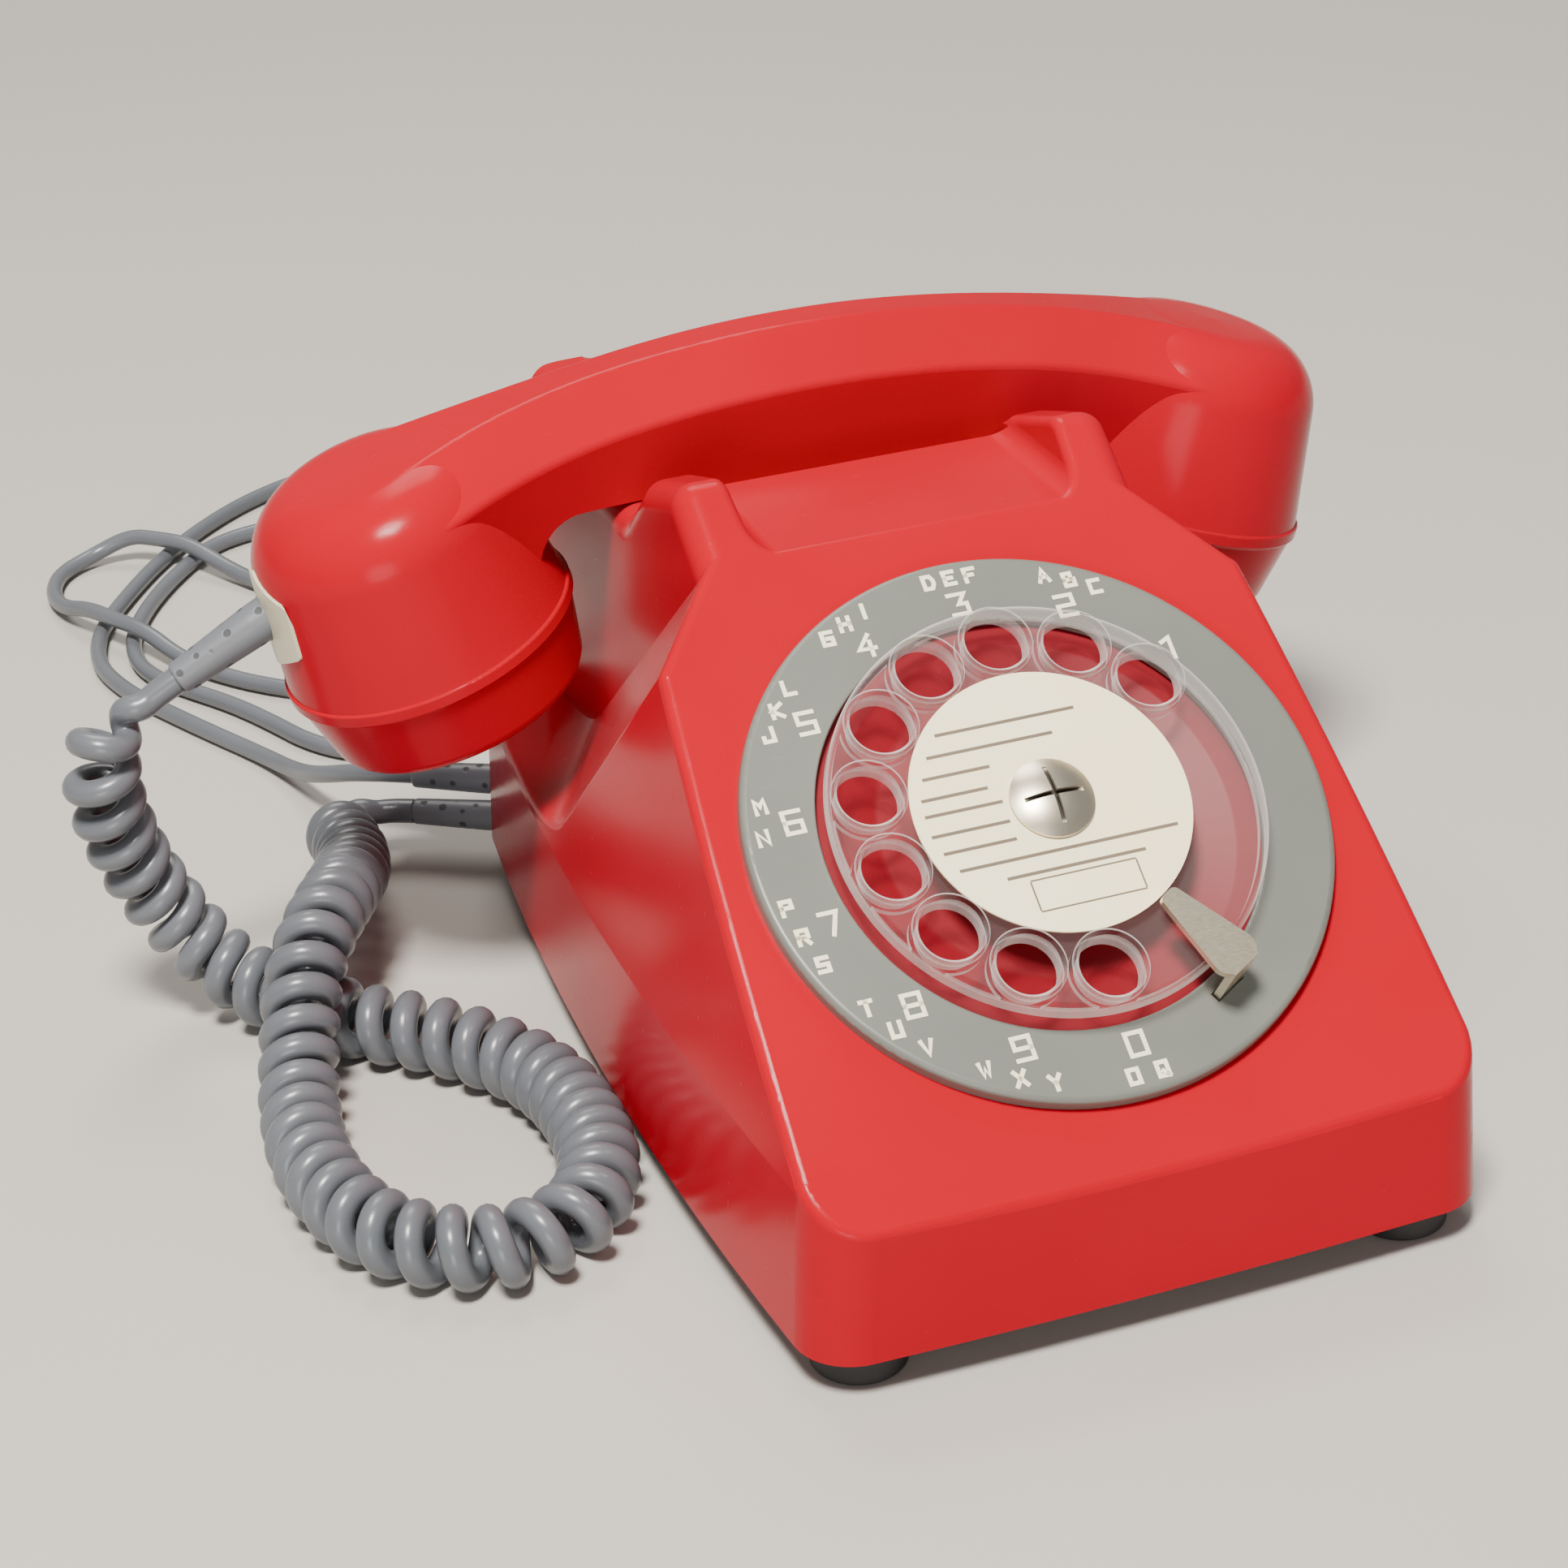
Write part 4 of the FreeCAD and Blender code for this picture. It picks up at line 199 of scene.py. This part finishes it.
class Shade:
    """A value in a material: wraps a socket, with Python's operators as Math nodes."""

    def __init__(self, tree, socket):
        self.tree = tree
        self.socket = socket

    def node(self, kind, settings, sockets, output=0):
        """Adds a node of any kind: its settings first, then its sockets' values or links."""
        made = self.tree.nodes.new("ShaderNode" + kind)
        for name, value in settings.items():
            setattr(made, name, value)
        for name, value in sockets.items():
            if isinstance(value, Shade):
                self.tree.links.new(value.socket, made.inputs[name])
            else:
                made.inputs[name].default_value = value
        return Shade(self.tree, made.outputs[output])

    def math(self, operation, first, second):
        """Adds a Math node for two values, either of which may be a plain number."""
        return self.node("Math", {"operation": operation}, {0: first, 1: second})

    def __add__(self, other):
        return self.math("ADD", self, other)

    def __radd__(self, other):
        return self.math("ADD", other, self)

    def __sub__(self, other):
        return self.math("SUBTRACT", self, other)

    def __rsub__(self, other):
        return self.math("SUBTRACT", other, self)

    def __mul__(self, other):
        return self.math("MULTIPLY", self, other)

    def __pow__(self, other):
        return self.math("POWER", self, other)

    def noise(self, scale, detail=2.0, rough=0.5, stretch=(1.0, 1.0, 1.0)):
        """Cloudy pattern from 0 to 1 at this many blots to the metre."""
        place = self.node("Mapping", {}, {"Vector": self, "Scale": stretch})
        return self.node("TexNoise", {}, {
            "Vector": place, "Scale": scale, "Detail": detail, "Roughness": rough})

    def above(self, level, soft):
        """One where the value passes the level, with an edge this soft, and zero below it."""
        return self.node("MapRange", {"interpolation_type": "SMOOTHSTEP"}, {
            "Value": self, "From Min": level - soft, "From Max": level + soft})

    def blend(self, first, second):
        """The first colour where the value is 0, and the second where it is 1."""
        return self.node("Mix", {"data_type": "RGBA"}, {0: self, 6: first, 7: second}, output=2)

    def bump(self, strength, deep):
        """Surface direction of this height, as deep as given in metres."""
        return self.node("Bump", {}, {"Height": self, "Strength": strength, "Distance": deep})


def rgb(red, green, blue):
    """Linear colour of a colour given from 0 to 255 as a screen shows it."""
    parts = [value / 255 for value in (red, green, blue)]
    return tuple(v / 12.92 if v < 0.04045 else ((v + 0.055) / 1.055) ** 2.4 for v in parts) + (1.0,)


def finish(name, constants, varied):
    """Material of one shader: constants sit on its sockets, and varied gives the rest from a place."""
    material = bpy.data.materials.new(name)
    material.use_nodes = True
    tree = material.node_tree
    shader = tree.nodes["Principled BSDF"]
    for socket, value in constants.items():
        shader.inputs[socket].default_value = value
    place = Shade(tree, None).node("TexCoord", {}, {}, output=3)
    for socket, value in varied(place).items():
        tree.links.new(value.socket, shader.inputs[socket])
    return material


def moulding(name, light, dark, gloss, grain=0.05, shine=0.5):
    """Moulded plastic: two near colours in clouds, hazy gloss, faint rubs and a fine skin."""
    def varied(place):
        cloud = place.noise(22.0, 3.0)
        skin = place.noise(SKIN_BLOTS, 2.0)
        rub = place.noise(140.0, 4.0, 0.7, (1.0, 6.0, 2.0)).above(0.66, 0.08)
        haze = place.noise(55.0, 3.0)
        return {
            "Base Color": cloud.above(0.5, 0.3).blend(dark, light),
            "Roughness": gloss + haze * 0.07 + rub * 0.1,
            "Normal": skin.bump(grain, FINE_DEEP),
        }
    return finish(name, {"IOR": 1.5, "Specular IOR Level": shine}, varied)


def metal(name, colour, shadow, gloss, lines=(1.0, 1.0, 1.0), grain=0.1):
    """Bare metal: a colour with dull patches and drawn lines along the axis that is stretched."""
    def varied(place):
        patch = place.noise(90.0, 4.0)
        drawn = place.noise(DRAWN_BLOTS, 3.0, 0.6, lines)
        return {
            "Base Color": patch.above(0.52, 0.25).blend(colour, shadow),
            "Roughness": gloss + drawn * 0.16 + patch * 0.08,
            "Normal": drawn.bump(grain, FINE_DEEP),
        }
    return finish(name, {"Metallic": 1.0}, varied)


def domed_metal(name, colour, shadow, cross_shade):
    """Satin metal of the nut: painted shade in the cross and at the foot of its edge, which lie below
    the ball that the dome is part of.
    """
    def varied(place):
        patch = place.noise(90.0, 4.0)
        drawn = place.noise(DRAWN_BLOTS, 3.0, 0.6, (1.0, 14.0, 1.0))
        far = place.node("VectorMath", {"operation": "DISTANCE"}, {0: place, 1: NUT_MIDDLE}, output=1)
        # Painted shade: where the surface lies below the ball's face, in the cross and at the foot of
        # the edge, it turns dark, duller and less metallic.
        cut = 1.0 - far.above((NUT_BALL - CROSS_DEEP) * MM, CROSS_SOFT * MM)
        return {
            "Base Color": cut.blend(patch.above(0.52, 0.25).blend(colour, shadow), cross_shade),
            "Roughness": 0.28 + drawn * 0.12 + cut * 0.4,
            "Metallic": 1.0 - cut * 0.8,
            "Normal": drawn.bump(0.03, FINE_DEEP),
        }
    return finish(name, {}, varied)


def dotted_sleeve(name, light, dark):
    """Soft grey sleeve with small round dimples at even distances, painted shade in the dimples, a fine
    skin and dull patches.
    """
    def varied(place):
        far = place.node("TexVoronoi", {}, {"Vector": place, "Scale": 1.0 / DOT_STEP, "Randomness": 0.0})
        dot = 1.0 - far.above(DOT_SIZE, DOT_SOFT)
        cloud = place.noise(40.0, 3.0)
        skin = place.noise(SKIN_BLOTS, 2.0)
        return {
            # Painted shade: the dimples take a dark grey.
            "Base Color": dot.blend(cloud.above(0.5, 0.3).blend(light, dark), rgb(58, 60, 64)),
            "Roughness": 0.36 + cloud * 0.1 + dot * 0.2,
            "Normal": (skin * 0.1 - dot).bump(0.4, DOT_DEEP),
        }
    return finish(name, {"IOR": 1.5}, varied)


def clear_moulding(name):
    """Clear plastic: see-through face on, with a painted sheen of milky white where it is seen edge on,
    and rubs from fingers.
    """
    def varied(place):
        rub = place.noise(220.0, 4.0, 0.7, (1.0, 5.0, 1.0)).above(0.6, 0.12)
        cloud = place.noise(40.0, 2.0)
        edge_sheen = place.node("LayerWeight", {}, {"Blend": 0.5}, output=1)
        return {
            "Base Color": cloud.blend(rgb(252, 248, 244), rgb(244, 238, 234)),
            "Roughness": 0.05 + rub * 0.12 + cloud * 0.03,
            # Painted sheen: the white colour grows opaque where the surface is seen edge on; the rubs
            # add a faint real milkiness.
            "Alpha": edge_sheen ** 1.8 * 0.95 + rub * 0.004,
            "Normal": place.noise(320.0, 2.0).bump(0.03, 0.0003),
        }
    return finish(name, {"IOR": 1.5}, varied)


def paper(name):
    """Cream card with faint fibres and a slightly aged tone in clouds."""
    def varied(place):
        fibre = place.noise(1500.0, 4.0, 0.7, (1.0, 3.0, 3.0))
        age = place.noise(60.0, 3.0)
        return {
            "Base Color": age.above(0.55, 0.25).blend(rgb(255, 244, 204), rgb(255, 238, 192)),
            "Roughness": 0.42 + fibre * 0.15,
            "Normal": fibre.bump(0.06, FINE_DEEP),
        }
    return finish(name, {"Coat Weight": 0.25, "Coat Roughness": 0.1}, varied)


def winding(name, light, dark, step):
    """Fine wire in turns: bright and dark rings along the coil's length, painted highlights on the turns
    and painted shade between them.
    """
    def varied(place):
        turns = place.node("TexWave", {"bands_direction": "X"}, {
            "Vector": place, "Scale": 1.0 / step, "Distortion": 0.4})
        return {
            # Painted highlight and painted shade: the turns' bright and dark rings.
            "Base Color": turns.blend(dark, light),
            "Roughness": 0.3 + turns * 0.2,
            "Normal": turns.bump(0.4, FINE_DEEP),
        }
    return finish(name, {"Metallic": 0.6}, varied)


def dress(material, *names):
    """Gives the named solids this finish."""
    for name in names:
        mesh = NODES[name].data
        mesh.materials.clear()
        mesh.materials.append(material)


def add_piece(name, mesh, material, body):
    """Object for a finished mesh at the origin, riding on a body."""
    piece = bpy.data.objects.new(name, mesh)
    bpy.context.scene.collection.objects.link(piece)
    mesh.materials.append(material)
    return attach(piece, body) if body else piece


def grid_faces(rows, columns, around, along):
    """Faces of a grid of points, joined round in the second index or the first one if asked.

    Each face takes points (i, j), (i, j+1), (i+1, j+1) and (i+1, j), with the last row or column
    followed by the first one where the grid is closed that way.
    """
    first = np.arange(rows if along else rows - 1)[:, None]
    second = np.arange(columns if around else columns - 1)[None, :]
    after, beside = (first + 1) % rows, (second + 1) % columns
    return np.stack([
        first * columns + second, first * columns + beside,
        after * columns + beside, after * columns + second,
    ], axis=-1).reshape(-1, 4)


def grid_mesh(name, points, around, along):
    """Smooth mesh of a grid of points: rows along the first index, joined as grid_faces says."""
    rows, columns = points.shape[:2]
    mesh = bpy.data.meshes.new(name)
    mesh.from_pydata(points.reshape(-1, 3), [], grid_faces(rows, columns, around, along).tolist())
    mesh.polygons.foreach_set("use_smooth", np.ones(len(mesh.polygons), bool))
    mesh.update()
    return mesh


def steady_frames(path):
    """Directions along a path and two cross directions that turn as little as they can.

    The way is the difference of neighbours. The side starts level and is turned at each step by
    the part of it that would lie along the next way.
    """
    way = np.gradient(path, axis=0)
    way /= np.linalg.norm(way, axis=1)[:, None]
    side = np.empty_like(way)
    now = np.cross(way[0], (0.0, 1.0, 0.0))
    for index, step in enumerate(way):
        now = now - step * (now @ step)
        now = now / np.linalg.norm(now)
        side[index] = now
    return way, side, np.cross(way, side)


def tube_mesh(name, path, radius, sides):
    """Round tube: a circle of this radius carried along a path, drawn in at both ends.

    The circle's point j is side times cosine plus cross times sine of 2 pi j / sides.
    """
    _, side, cross = steady_frames(path)
    angle = np.linspace(0.0, 2.0 * math.pi, sides, endpoint=False)
    wheel = (side[:, None, :] * np.cos(angle)[None, :, None]
             + cross[:, None, :] * np.sin(angle)[None, :, None])
    tip = [radius * TUBE_TIP]
    radii = np.concatenate([tip, np.full(len(path), radius), tip])
    path = np.concatenate([path[:1], path, path[-1:]])
    wheel = np.concatenate([wheel[:1], wheel, wheel[-1:]])
    return grid_mesh(name, path[:, None, :] + wheel * radii[:, None, None], True, False)


def spline(name, points, thick=0.0, fine=8):
    """Curve of one open NURBS spline with these control points, in millimetres, in fine steps."""
    curve = bpy.data.curves.new(name, "CURVE")
    curve.dimensions = "3D"
    curve.resolution_u = fine
    curve.bevel_depth = thick * MM / 2
    curve.bevel_resolution = 5
    curve.use_fill_caps = thick > 0
    line = curve.splines.new("NURBS")
    line.points.add(len(points) - 1)
    spots = np.ones((len(points), 4))
    spots[:, :3] = np.array(points) * MM
    line.points.foreach_set("co", spots.ravel())
    line.order_u = 3
    line.use_endpoint_u = True
    piece = bpy.data.objects.new(name, curve)
    bpy.context.scene.collection.objects.link(piece)
    return piece


def spline_points(points):
    """Points of the smooth line of a route, in metres, as the curve itself gives them."""
    guide = spline("route_guide", points, fine=ROUTE_FINE)
    bpy.context.view_layer.update()
    mesh = bpy.data.meshes.new_from_object(guide)
    line = np.empty(len(mesh.vertices) * 3)
    mesh.vertices.foreach_get("co", line)
    bpy.data.objects.remove(guide)
    bpy.data.meshes.remove(mesh)
    return line.reshape(-1, 3)


def resampled(line, count):
    """The same line with this many points at equal distances along it."""
    run = np.concatenate([[0.0], np.cumsum(np.linalg.norm(np.diff(line, axis=0), axis=1))])
    spots = np.linspace(0.0, run[-1], count)
    return np.stack([np.interp(spots, run, line[:, axis]) for axis in range(3)], axis=1)


def curled(line):
    """A wire curled round a line: the line plus a circle in its cross directions.

    The turns are the sum of each step along the line divided by the pitch there: the pitch at that
    distance, or where the line bends the one that keeps the turns apart on the inside of the bend,
    up to the widest spread. The bend is the change of way for each step, averaged over its neighbours.
    The radius swells from nothing to its full size over the first turns and back over the last ones.
    """
    long = np.linalg.norm(np.diff(line, axis=0), axis=1).sum() / MM
    count = CURLY_FINE * int(long)
    line = resampled(line, count)
    step = long / (count - 1)
    run = np.arange(count) * step
    way, side, cross = steady_frames(line)
    bend = np.linalg.norm(np.gradient(way, axis=0), axis=1) / step
    near = np.ones(BEND_POINTS) / BEND_POINTS
    bend = np.convolve(np.pad(bend, BEND_POINTS // 2, mode="edge"), near, mode="valid")
    pitch = np.interp(run, *zip(*CURLY_PITCH))
    apart = (CURLY_WIRE + CURLY_CLEAR) / (1.0 - CURLY_R * bend)
    pitch = np.maximum(pitch, np.minimum(apart, CURLY_SPREAD))
    curls = (run > CURLY_LEAD) & (run < long - CURLY_LEAD)
    turn = np.cumsum(np.where(curls, step / pitch, 0.0))
    swell = np.clip(np.minimum(turn, turn[-1] - turn) / CURLY_SWELL, 0.0, 1.0)
    size = CURLY_R * MM * swell * swell * (3.0 - 2.0 * swell)
    angle = 2.0 * math.pi * turn
    return (line + side * (size * np.cos(angle))[:, None]
            + cross * (size * np.sin(angle))[:, None])


def coil_points():
    """Turns of the put-away length: a spiral in on the floor, a climb, and a spiral out on top.

    The angle falls evenly from a quarter turn, the radius by one step a turn to the inner one and
    then back, and the height climbs by one step over the half turn between the two layers.
    """
    each = COIL_TURNS * COIL_POINTS
    half = COIL_POINTS // 2
    down = COIL_INNER + COIL_STEP * np.linspace(COIL_TURNS, 0.0, each + 1)
    radius = np.concatenate([down, np.full(half - 1, COIL_INNER), down[::-1]])
    rise = np.linspace(0.0, COIL_STEP, half + 1)[1:-1]
    height = COIL_FLOOR + np.concatenate([
        np.zeros(each + 1), rise, np.full(each + 1, COIL_STEP)])
    angle = math.pi / 2 - 2.0 * math.pi * np.arange(len(radius)) / COIL_POINTS
    return np.stack([
        COIL_MIDDLE[0] + radius * np.cos(angle), COIL_MIDDLE[1] + radius * np.sin(angle), height,
    ], axis=1)


def on_dial(across, up, out):
    """Points of the dial's own axes, in millimetres, as places in metres."""
    spots = (DIAL_MIDDLE + np.asarray(across)[..., None] * DIAL_ACROSS
             + np.asarray(up)[..., None] * DIAL_UP + np.asarray(out)[..., None] * DIAL_OUT)
    return spots * MM


def sign_paths(sign, tall):
    """Paths of a sign's strokes, in millimetres about its middle."""
    for stroke in STROKES[sign].split("|"):
        spots = np.array([(int(column) / SIGN_COLUMNS - 0.5, int(row) / SIGN_ROWS - 0.5)
                          for column, row in stroke.split()])
        yield spots * (tall * np.array([SIGN_WIDE, 1.0]) - STROKE)


def stroke_band(path, wide):
    """Low band along a flat path, square at its ends and mitred at its corners: points and faces.

    A corner moves out by half the width times the sum of its two runs' normals, over one plus
    their product. The section is a rectangle from a little under the surface to a little over it.
    """
    closed = np.allclose(path[0], path[-1])
    path = path[:-1] if closed else path
    onward = np.roll(path, -1, axis=0) - path
    onward /= np.linalg.norm(onward, axis=1)[:, None]
    back = np.roll(onward, 1, axis=0)
    if not closed:
        onward[-1], back[0] = back[-1], onward[0]
        path = path.copy()
        path[0] -= onward[0] * wide / 2
        path[-1] += back[-1] * wide / 2
    turn = np.array([[0.0, 1.0], [-1.0, 0.0]])
    normals = back @ turn, onward @ turn
    spread = 1.0 + (normals[0] * normals[1]).sum(axis=1)
    reach = (normals[0] + normals[1]) / np.maximum(spread, LEAST_MITRE)[:, None] * wide / 2
    rings = np.zeros((len(path), 4, 3))
    rings[:, :, :2] = path[:, None, :] + np.array([1, 1, -1, -1])[None, :, None] * reach[:, None, :]
    rings[:, :, 2] = np.array([-INK, INK, INK, -INK])
    faces = grid_faces(len(path), 4, True, closed)
    if not closed:
        last = 4 * (len(path) - 1)
        faces = np.concatenate([faces, [(3, 2, 1, 0), (last, last + 1, last + 2, last + 3)]])
    return rings.reshape(-1, 3), faces


def ring_signs():
    """Digits and letter groups of the ring, all upright, on two circles, as one mesh."""
    spots, faces, count = [], [], 0
    for index, group in enumerate(LETTERS):
        middle = FIRST_DIGIT + DIGIT_STEP * index
        signs = [(str((index + 1) % 10), middle, DIGIT_R, DIGIT_TALL)]
        for place, letter in enumerate(group):
            spread = place - (len(group) - 1) / 2
            spread = -spread if middle < LEFT_FROM else spread
            signs.append((letter, middle + LETTER_STEPS[index] * spread, LETTER_R, LETTER_TALL))
        for sign, angle, far, tall in signs:
            angle = math.radians(angle)
            for path in sign_paths(sign, tall):
                shape, sides = stroke_band(path, STROKE)
                spots.append(on_dial(shape[:, 0] + far * math.cos(angle),
                                     shape[:, 1] + far * math.sin(angle), shape[:, 2] + RING_TOP))
                faces.append(sides + count)
                count += len(shape)
    mesh = bpy.data.meshes.new("ring_signs")
    mesh.from_pydata(np.concatenate(spots), [], np.concatenate(faces).tolist())
    mesh.update()
    return mesh


def card_bars(bars):
    """Thin flat bars on the card, each a box from its lowest to its highest corner."""
    low = np.array([(x0, y0, CARD_TOP - PRINT_SUNK) for x0, x1, y0, y1 in bars])
    high = np.array([(x1, y1, CARD_TOP + PRINT_THICK) for x0, x1, y0, y1 in bars])
    pick = np.array([(i, j, k) for k in (0, 1) for j in (0, 1) for i in (0, 1)])
    corners = np.where(pick[None, :, :] == 0, low[:, None, :], high[:, None, :])
    box = np.array([
        (0, 2, 3, 1), (4, 5, 7, 6), (0, 1, 5, 4), (2, 6, 7, 3), (0, 4, 6, 2), (1, 3, 7, 5)])
    faces = (box[None, :, :] + 8 * np.arange(len(bars))[:, None, None]).reshape(-1, 4)
    spots = on_dial(corners[..., 0], corners[..., 1], corners[..., 2]).reshape(-1, 3)
    mesh = bpy.data.meshes.new("card_bars")
    mesh.from_pydata(spots, [], faces.tolist())
    mesh.update()
    return mesh


def add_cords(cord_grey):
    """The curly cord of the handset and the line cord with its put-away coil."""
    wire = curled(spline_points(CURLY_ROUTE))
    tube = tube_mesh("curly_handset_cord", wire, CURLY_WIRE * MM / 2, CURLY_SIDES)
    curly = add_piece("curly_handset_cord", tube, cord_grey, None)
    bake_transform(curly)
    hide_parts("curly_cord")
    line = spline("line_lead", LINE_ROUTE + tuple(map(tuple, coil_points())) + COIL_OUT, LINE_WIRE)
    line.data.materials.append(cord_grey)
    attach(line, "base")
    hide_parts("line_cord", "line_coil")


def add_markings(ink, print_ink):
    """Cream signs on the ring, and rules and an empty frame printed on the card."""
    signs = add_piece("ring_signs", ring_signs(), ink, "base")
    bars = [(x0, x1, y - RULE_HALF, y + RULE_HALF) for x0, x1, y in CARD_RULES]
    x0, x1, y0, y1 = CARD_FRAME
    half = FRAME_HALF
    bars += [(x0, x1, y - half, y + half) for y in (y0, y1)]
    bars += [(x - half, x + half, y0 + half, y1 - half) for x in (x0, x1)]
    rules = add_piece("card_rules", card_bars(bars), print_ink, "dial")


def add_finishes():
    """Finishes of all the solids; returns the ones that the added pieces take too."""
    red = moulding("red_gloss", rgb(172, 4, 30), rgb(166, 3, 27), 0.16, shine=0.08)
    deep_red = moulding("red_plate", rgb(124, 9, 25), rgb(115, 8, 22), 0.38, shine=0.3)
    grey = moulding("ring_grey", rgb(111, 113, 106), rgb(102, 104, 97), 0.34)
    cream = moulding("cream_plastic", rgb(206, 198, 172), rgb(196, 187, 160), 0.3)
    ink = moulding("cream_print", rgb(255, 247, 216), rgb(248, 238, 204), 0.5)
    brown_ink = moulding("brown_print", rgb(112, 98, 80), rgb(96, 83, 67), 0.6)
    cord_grey = moulding("cord_grey", rgb(98, 101, 107), rgb(88, 92, 97), 0.26, grain=0.06)
    sleeve = dotted_sleeve("sleeve_grey", rgb(108, 111, 117), rgb(99, 102, 107))
    rubber = moulding("foot_rubber", rgb(34, 33, 33), rgb(26, 25, 25), 0.62, grain=0.3)
    black = moulding("black_plastic", rgb(30, 30, 32), rgb(22, 22, 24), 0.32)
    board = moulding("board_brown", rgb(150, 112, 62), rgb(132, 96, 50), 0.4)
    clear = clear_moulding("clear_plastic")
    card = paper("cream_card")
    bright = metal("bright_steel", rgb(205, 203, 196), rgb(186, 183, 174), 0.16, (6.0, 1.0, 1.0))
    # The nut's last colour is the painted shade of its cross.
    satin = domed_metal("satin_steel", rgb(240, 228, 206), rgb(228, 214, 190), rgb(52, 46, 38))
    nickel = metal("warm_nickel", rgb(240, 230, 204), rgb(226, 214, 186), 0.2, (1.0, 8.0, 1.0), 0.05)
    zinc = metal("zinc_plate", rgb(186, 188, 190), rgb(160, 162, 166), 0.34, (1.0, 6.0, 1.0))
    brass = metal("brass_sheet", rgb(214, 178, 96), rgb(192, 154, 76), 0.24, (4.0, 1.0, 1.0))
    # The copper's bright and dark colours are the painted highlight and painted shade of the turns.
    copper = winding("copper_winding", rgb(200, 112, 62), rgb(120, 58, 30), 0.0016)
    dress(red, "housing", "handset_shell", "mouthpiece_cap", "earpiece_cap")
    dress(deep_red, "dial_plate")
    dress(grey, "number_ring")
    dress(cream, "cord_entry_plate", "cord_tie", "line_plug")
    dress(card, "number_card")
    dress(clear, "finger_wheel")
    dress(satin, "dome_nut")
    dress(bright, "dial_shaft", "gong_left", "gong_right", "base_screws", "board_screws",
          "gong_screws")
    dress(nickel, "finger_stop", "pulse_contacts", "switch_contacts", "return_spring")
    dress(zinc, "base_plate", "dial_case", "governor_bracket", "hook_bracket", "ringer_frame",
          "microphone", "receiver")
    dress(brass, "main_gear", "governor", "clapper")
    dress(copper, "ringer_coils", "induction_coil")
    dress(board, "circuit_board")
    dress(black, "terminal_block", "pulse_cam", "hook_bar", "capacitor", "plunger_left", "plunger_right")
    dress(rubber, "rubber_feet")
    dress(sleeve, "handset_strain_relief", "cord_strain_relief", "line_strain_relief")
    return cord_grey, ink, brown_ink


def add_stage():
    """Plain pale floor that rises far behind in one sweep: height zero, then a quarter circle."""
    across = np.linspace(-FLOOR_HALF, FLOOR_HALF, 3)
    angle = np.linspace(0.0, math.pi / 2, SWEEP_STEPS)
    deep = np.concatenate([
        [-FLOOR_HALF, SWEEP_FROM], SWEEP_FROM + SWEEP_R * np.sin(angle[1:]), [SWEEP_FROM + SWEEP_R]])
    high = np.concatenate([[0.0, 0.0], SWEEP_R - SWEEP_R * np.cos(angle[1:]), [WALL_TOP]])
    points = np.zeros((len(across), len(deep), 3))
    points[..., 0] = across[:, None]
    points[..., 1] = deep[None, :]
    points[..., 2] = high[None, :] - FLOOR_DROP

    def varied(place):
        cloud = place.noise(3.0, 3.0)
        return {
            "Base Color": cloud.blend(rgb(186, 182, 176), rgb(180, 176, 169)),
            "Roughness": 0.55 + cloud * 0.1,
        }
    floor = add_piece("floor", grid_mesh("floor", points, False, False),
                      finish("pale_floor", {"IOR": 1.4}, varied), None)


def add_light(name, place, aim, wide, power, colour):
    """Square soft light at a place, turned to an aim."""
    lamp = bpy.data.lights.new(name, "AREA")
    lamp.size = wide
    lamp.energy = power
    lamp.color = colour
    piece = bpy.data.objects.new(name, lamp)
    back = np.array(place) - np.array(aim)
    back /= np.linalg.norm(back)
    side = np.cross((0.0, 0.0, 1.0), back)
    side /= np.linalg.norm(side)
    turn = Matrix(np.stack([side, np.cross(back, side), back], axis=1).tolist())
    piece.matrix_world = Matrix.Translation(place) @ turn.to_4x4()
    bpy.context.scene.collection.objects.link(piece)


def add_view():
    """Soft lights, a pale sky, and the camera at the photograph's place."""
    for light in LIGHTS:
        add_light(*light)
    world = bpy.data.worlds.new("studio")
    world.use_nodes = True
    sky = world.node_tree.nodes["Background"].inputs
    sky["Color"].default_value = SKY
    sky["Strength"].default_value = SKY_STRENGTH
    bpy.context.scene.world = world
    lens = bpy.data.cameras.new("camera")
    lens.sensor_fit = "HORIZONTAL"
    lens.angle = math.radians(VIEW_WIDE)
    lens.clip_start = 0.01
    camera = bpy.data.objects.new("camera", lens)
    look = np.array(LOOK) / np.linalg.norm(LOOK)
    right = np.array(RIGHT) - look * (np.array(RIGHT) @ look)
    right /= np.linalg.norm(right)
    turn = Matrix(np.stack([right, np.cross(right, look), -look], axis=1).tolist())
    camera.matrix_world = Matrix.Translation([v * MM for v in EYE]) @ turn.to_4x4()
    bpy.context.scene.collection.objects.link(camera)
    bpy.context.scene.camera = camera


def main():
    """Dresses the solids, adds the cords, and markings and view."""
    cord_grey, ink, brown_ink = add_finishes()
    add_cords(cord_grey)
    add_markings(ink, brown_ink)
    add_stage()
    add_view()


main()
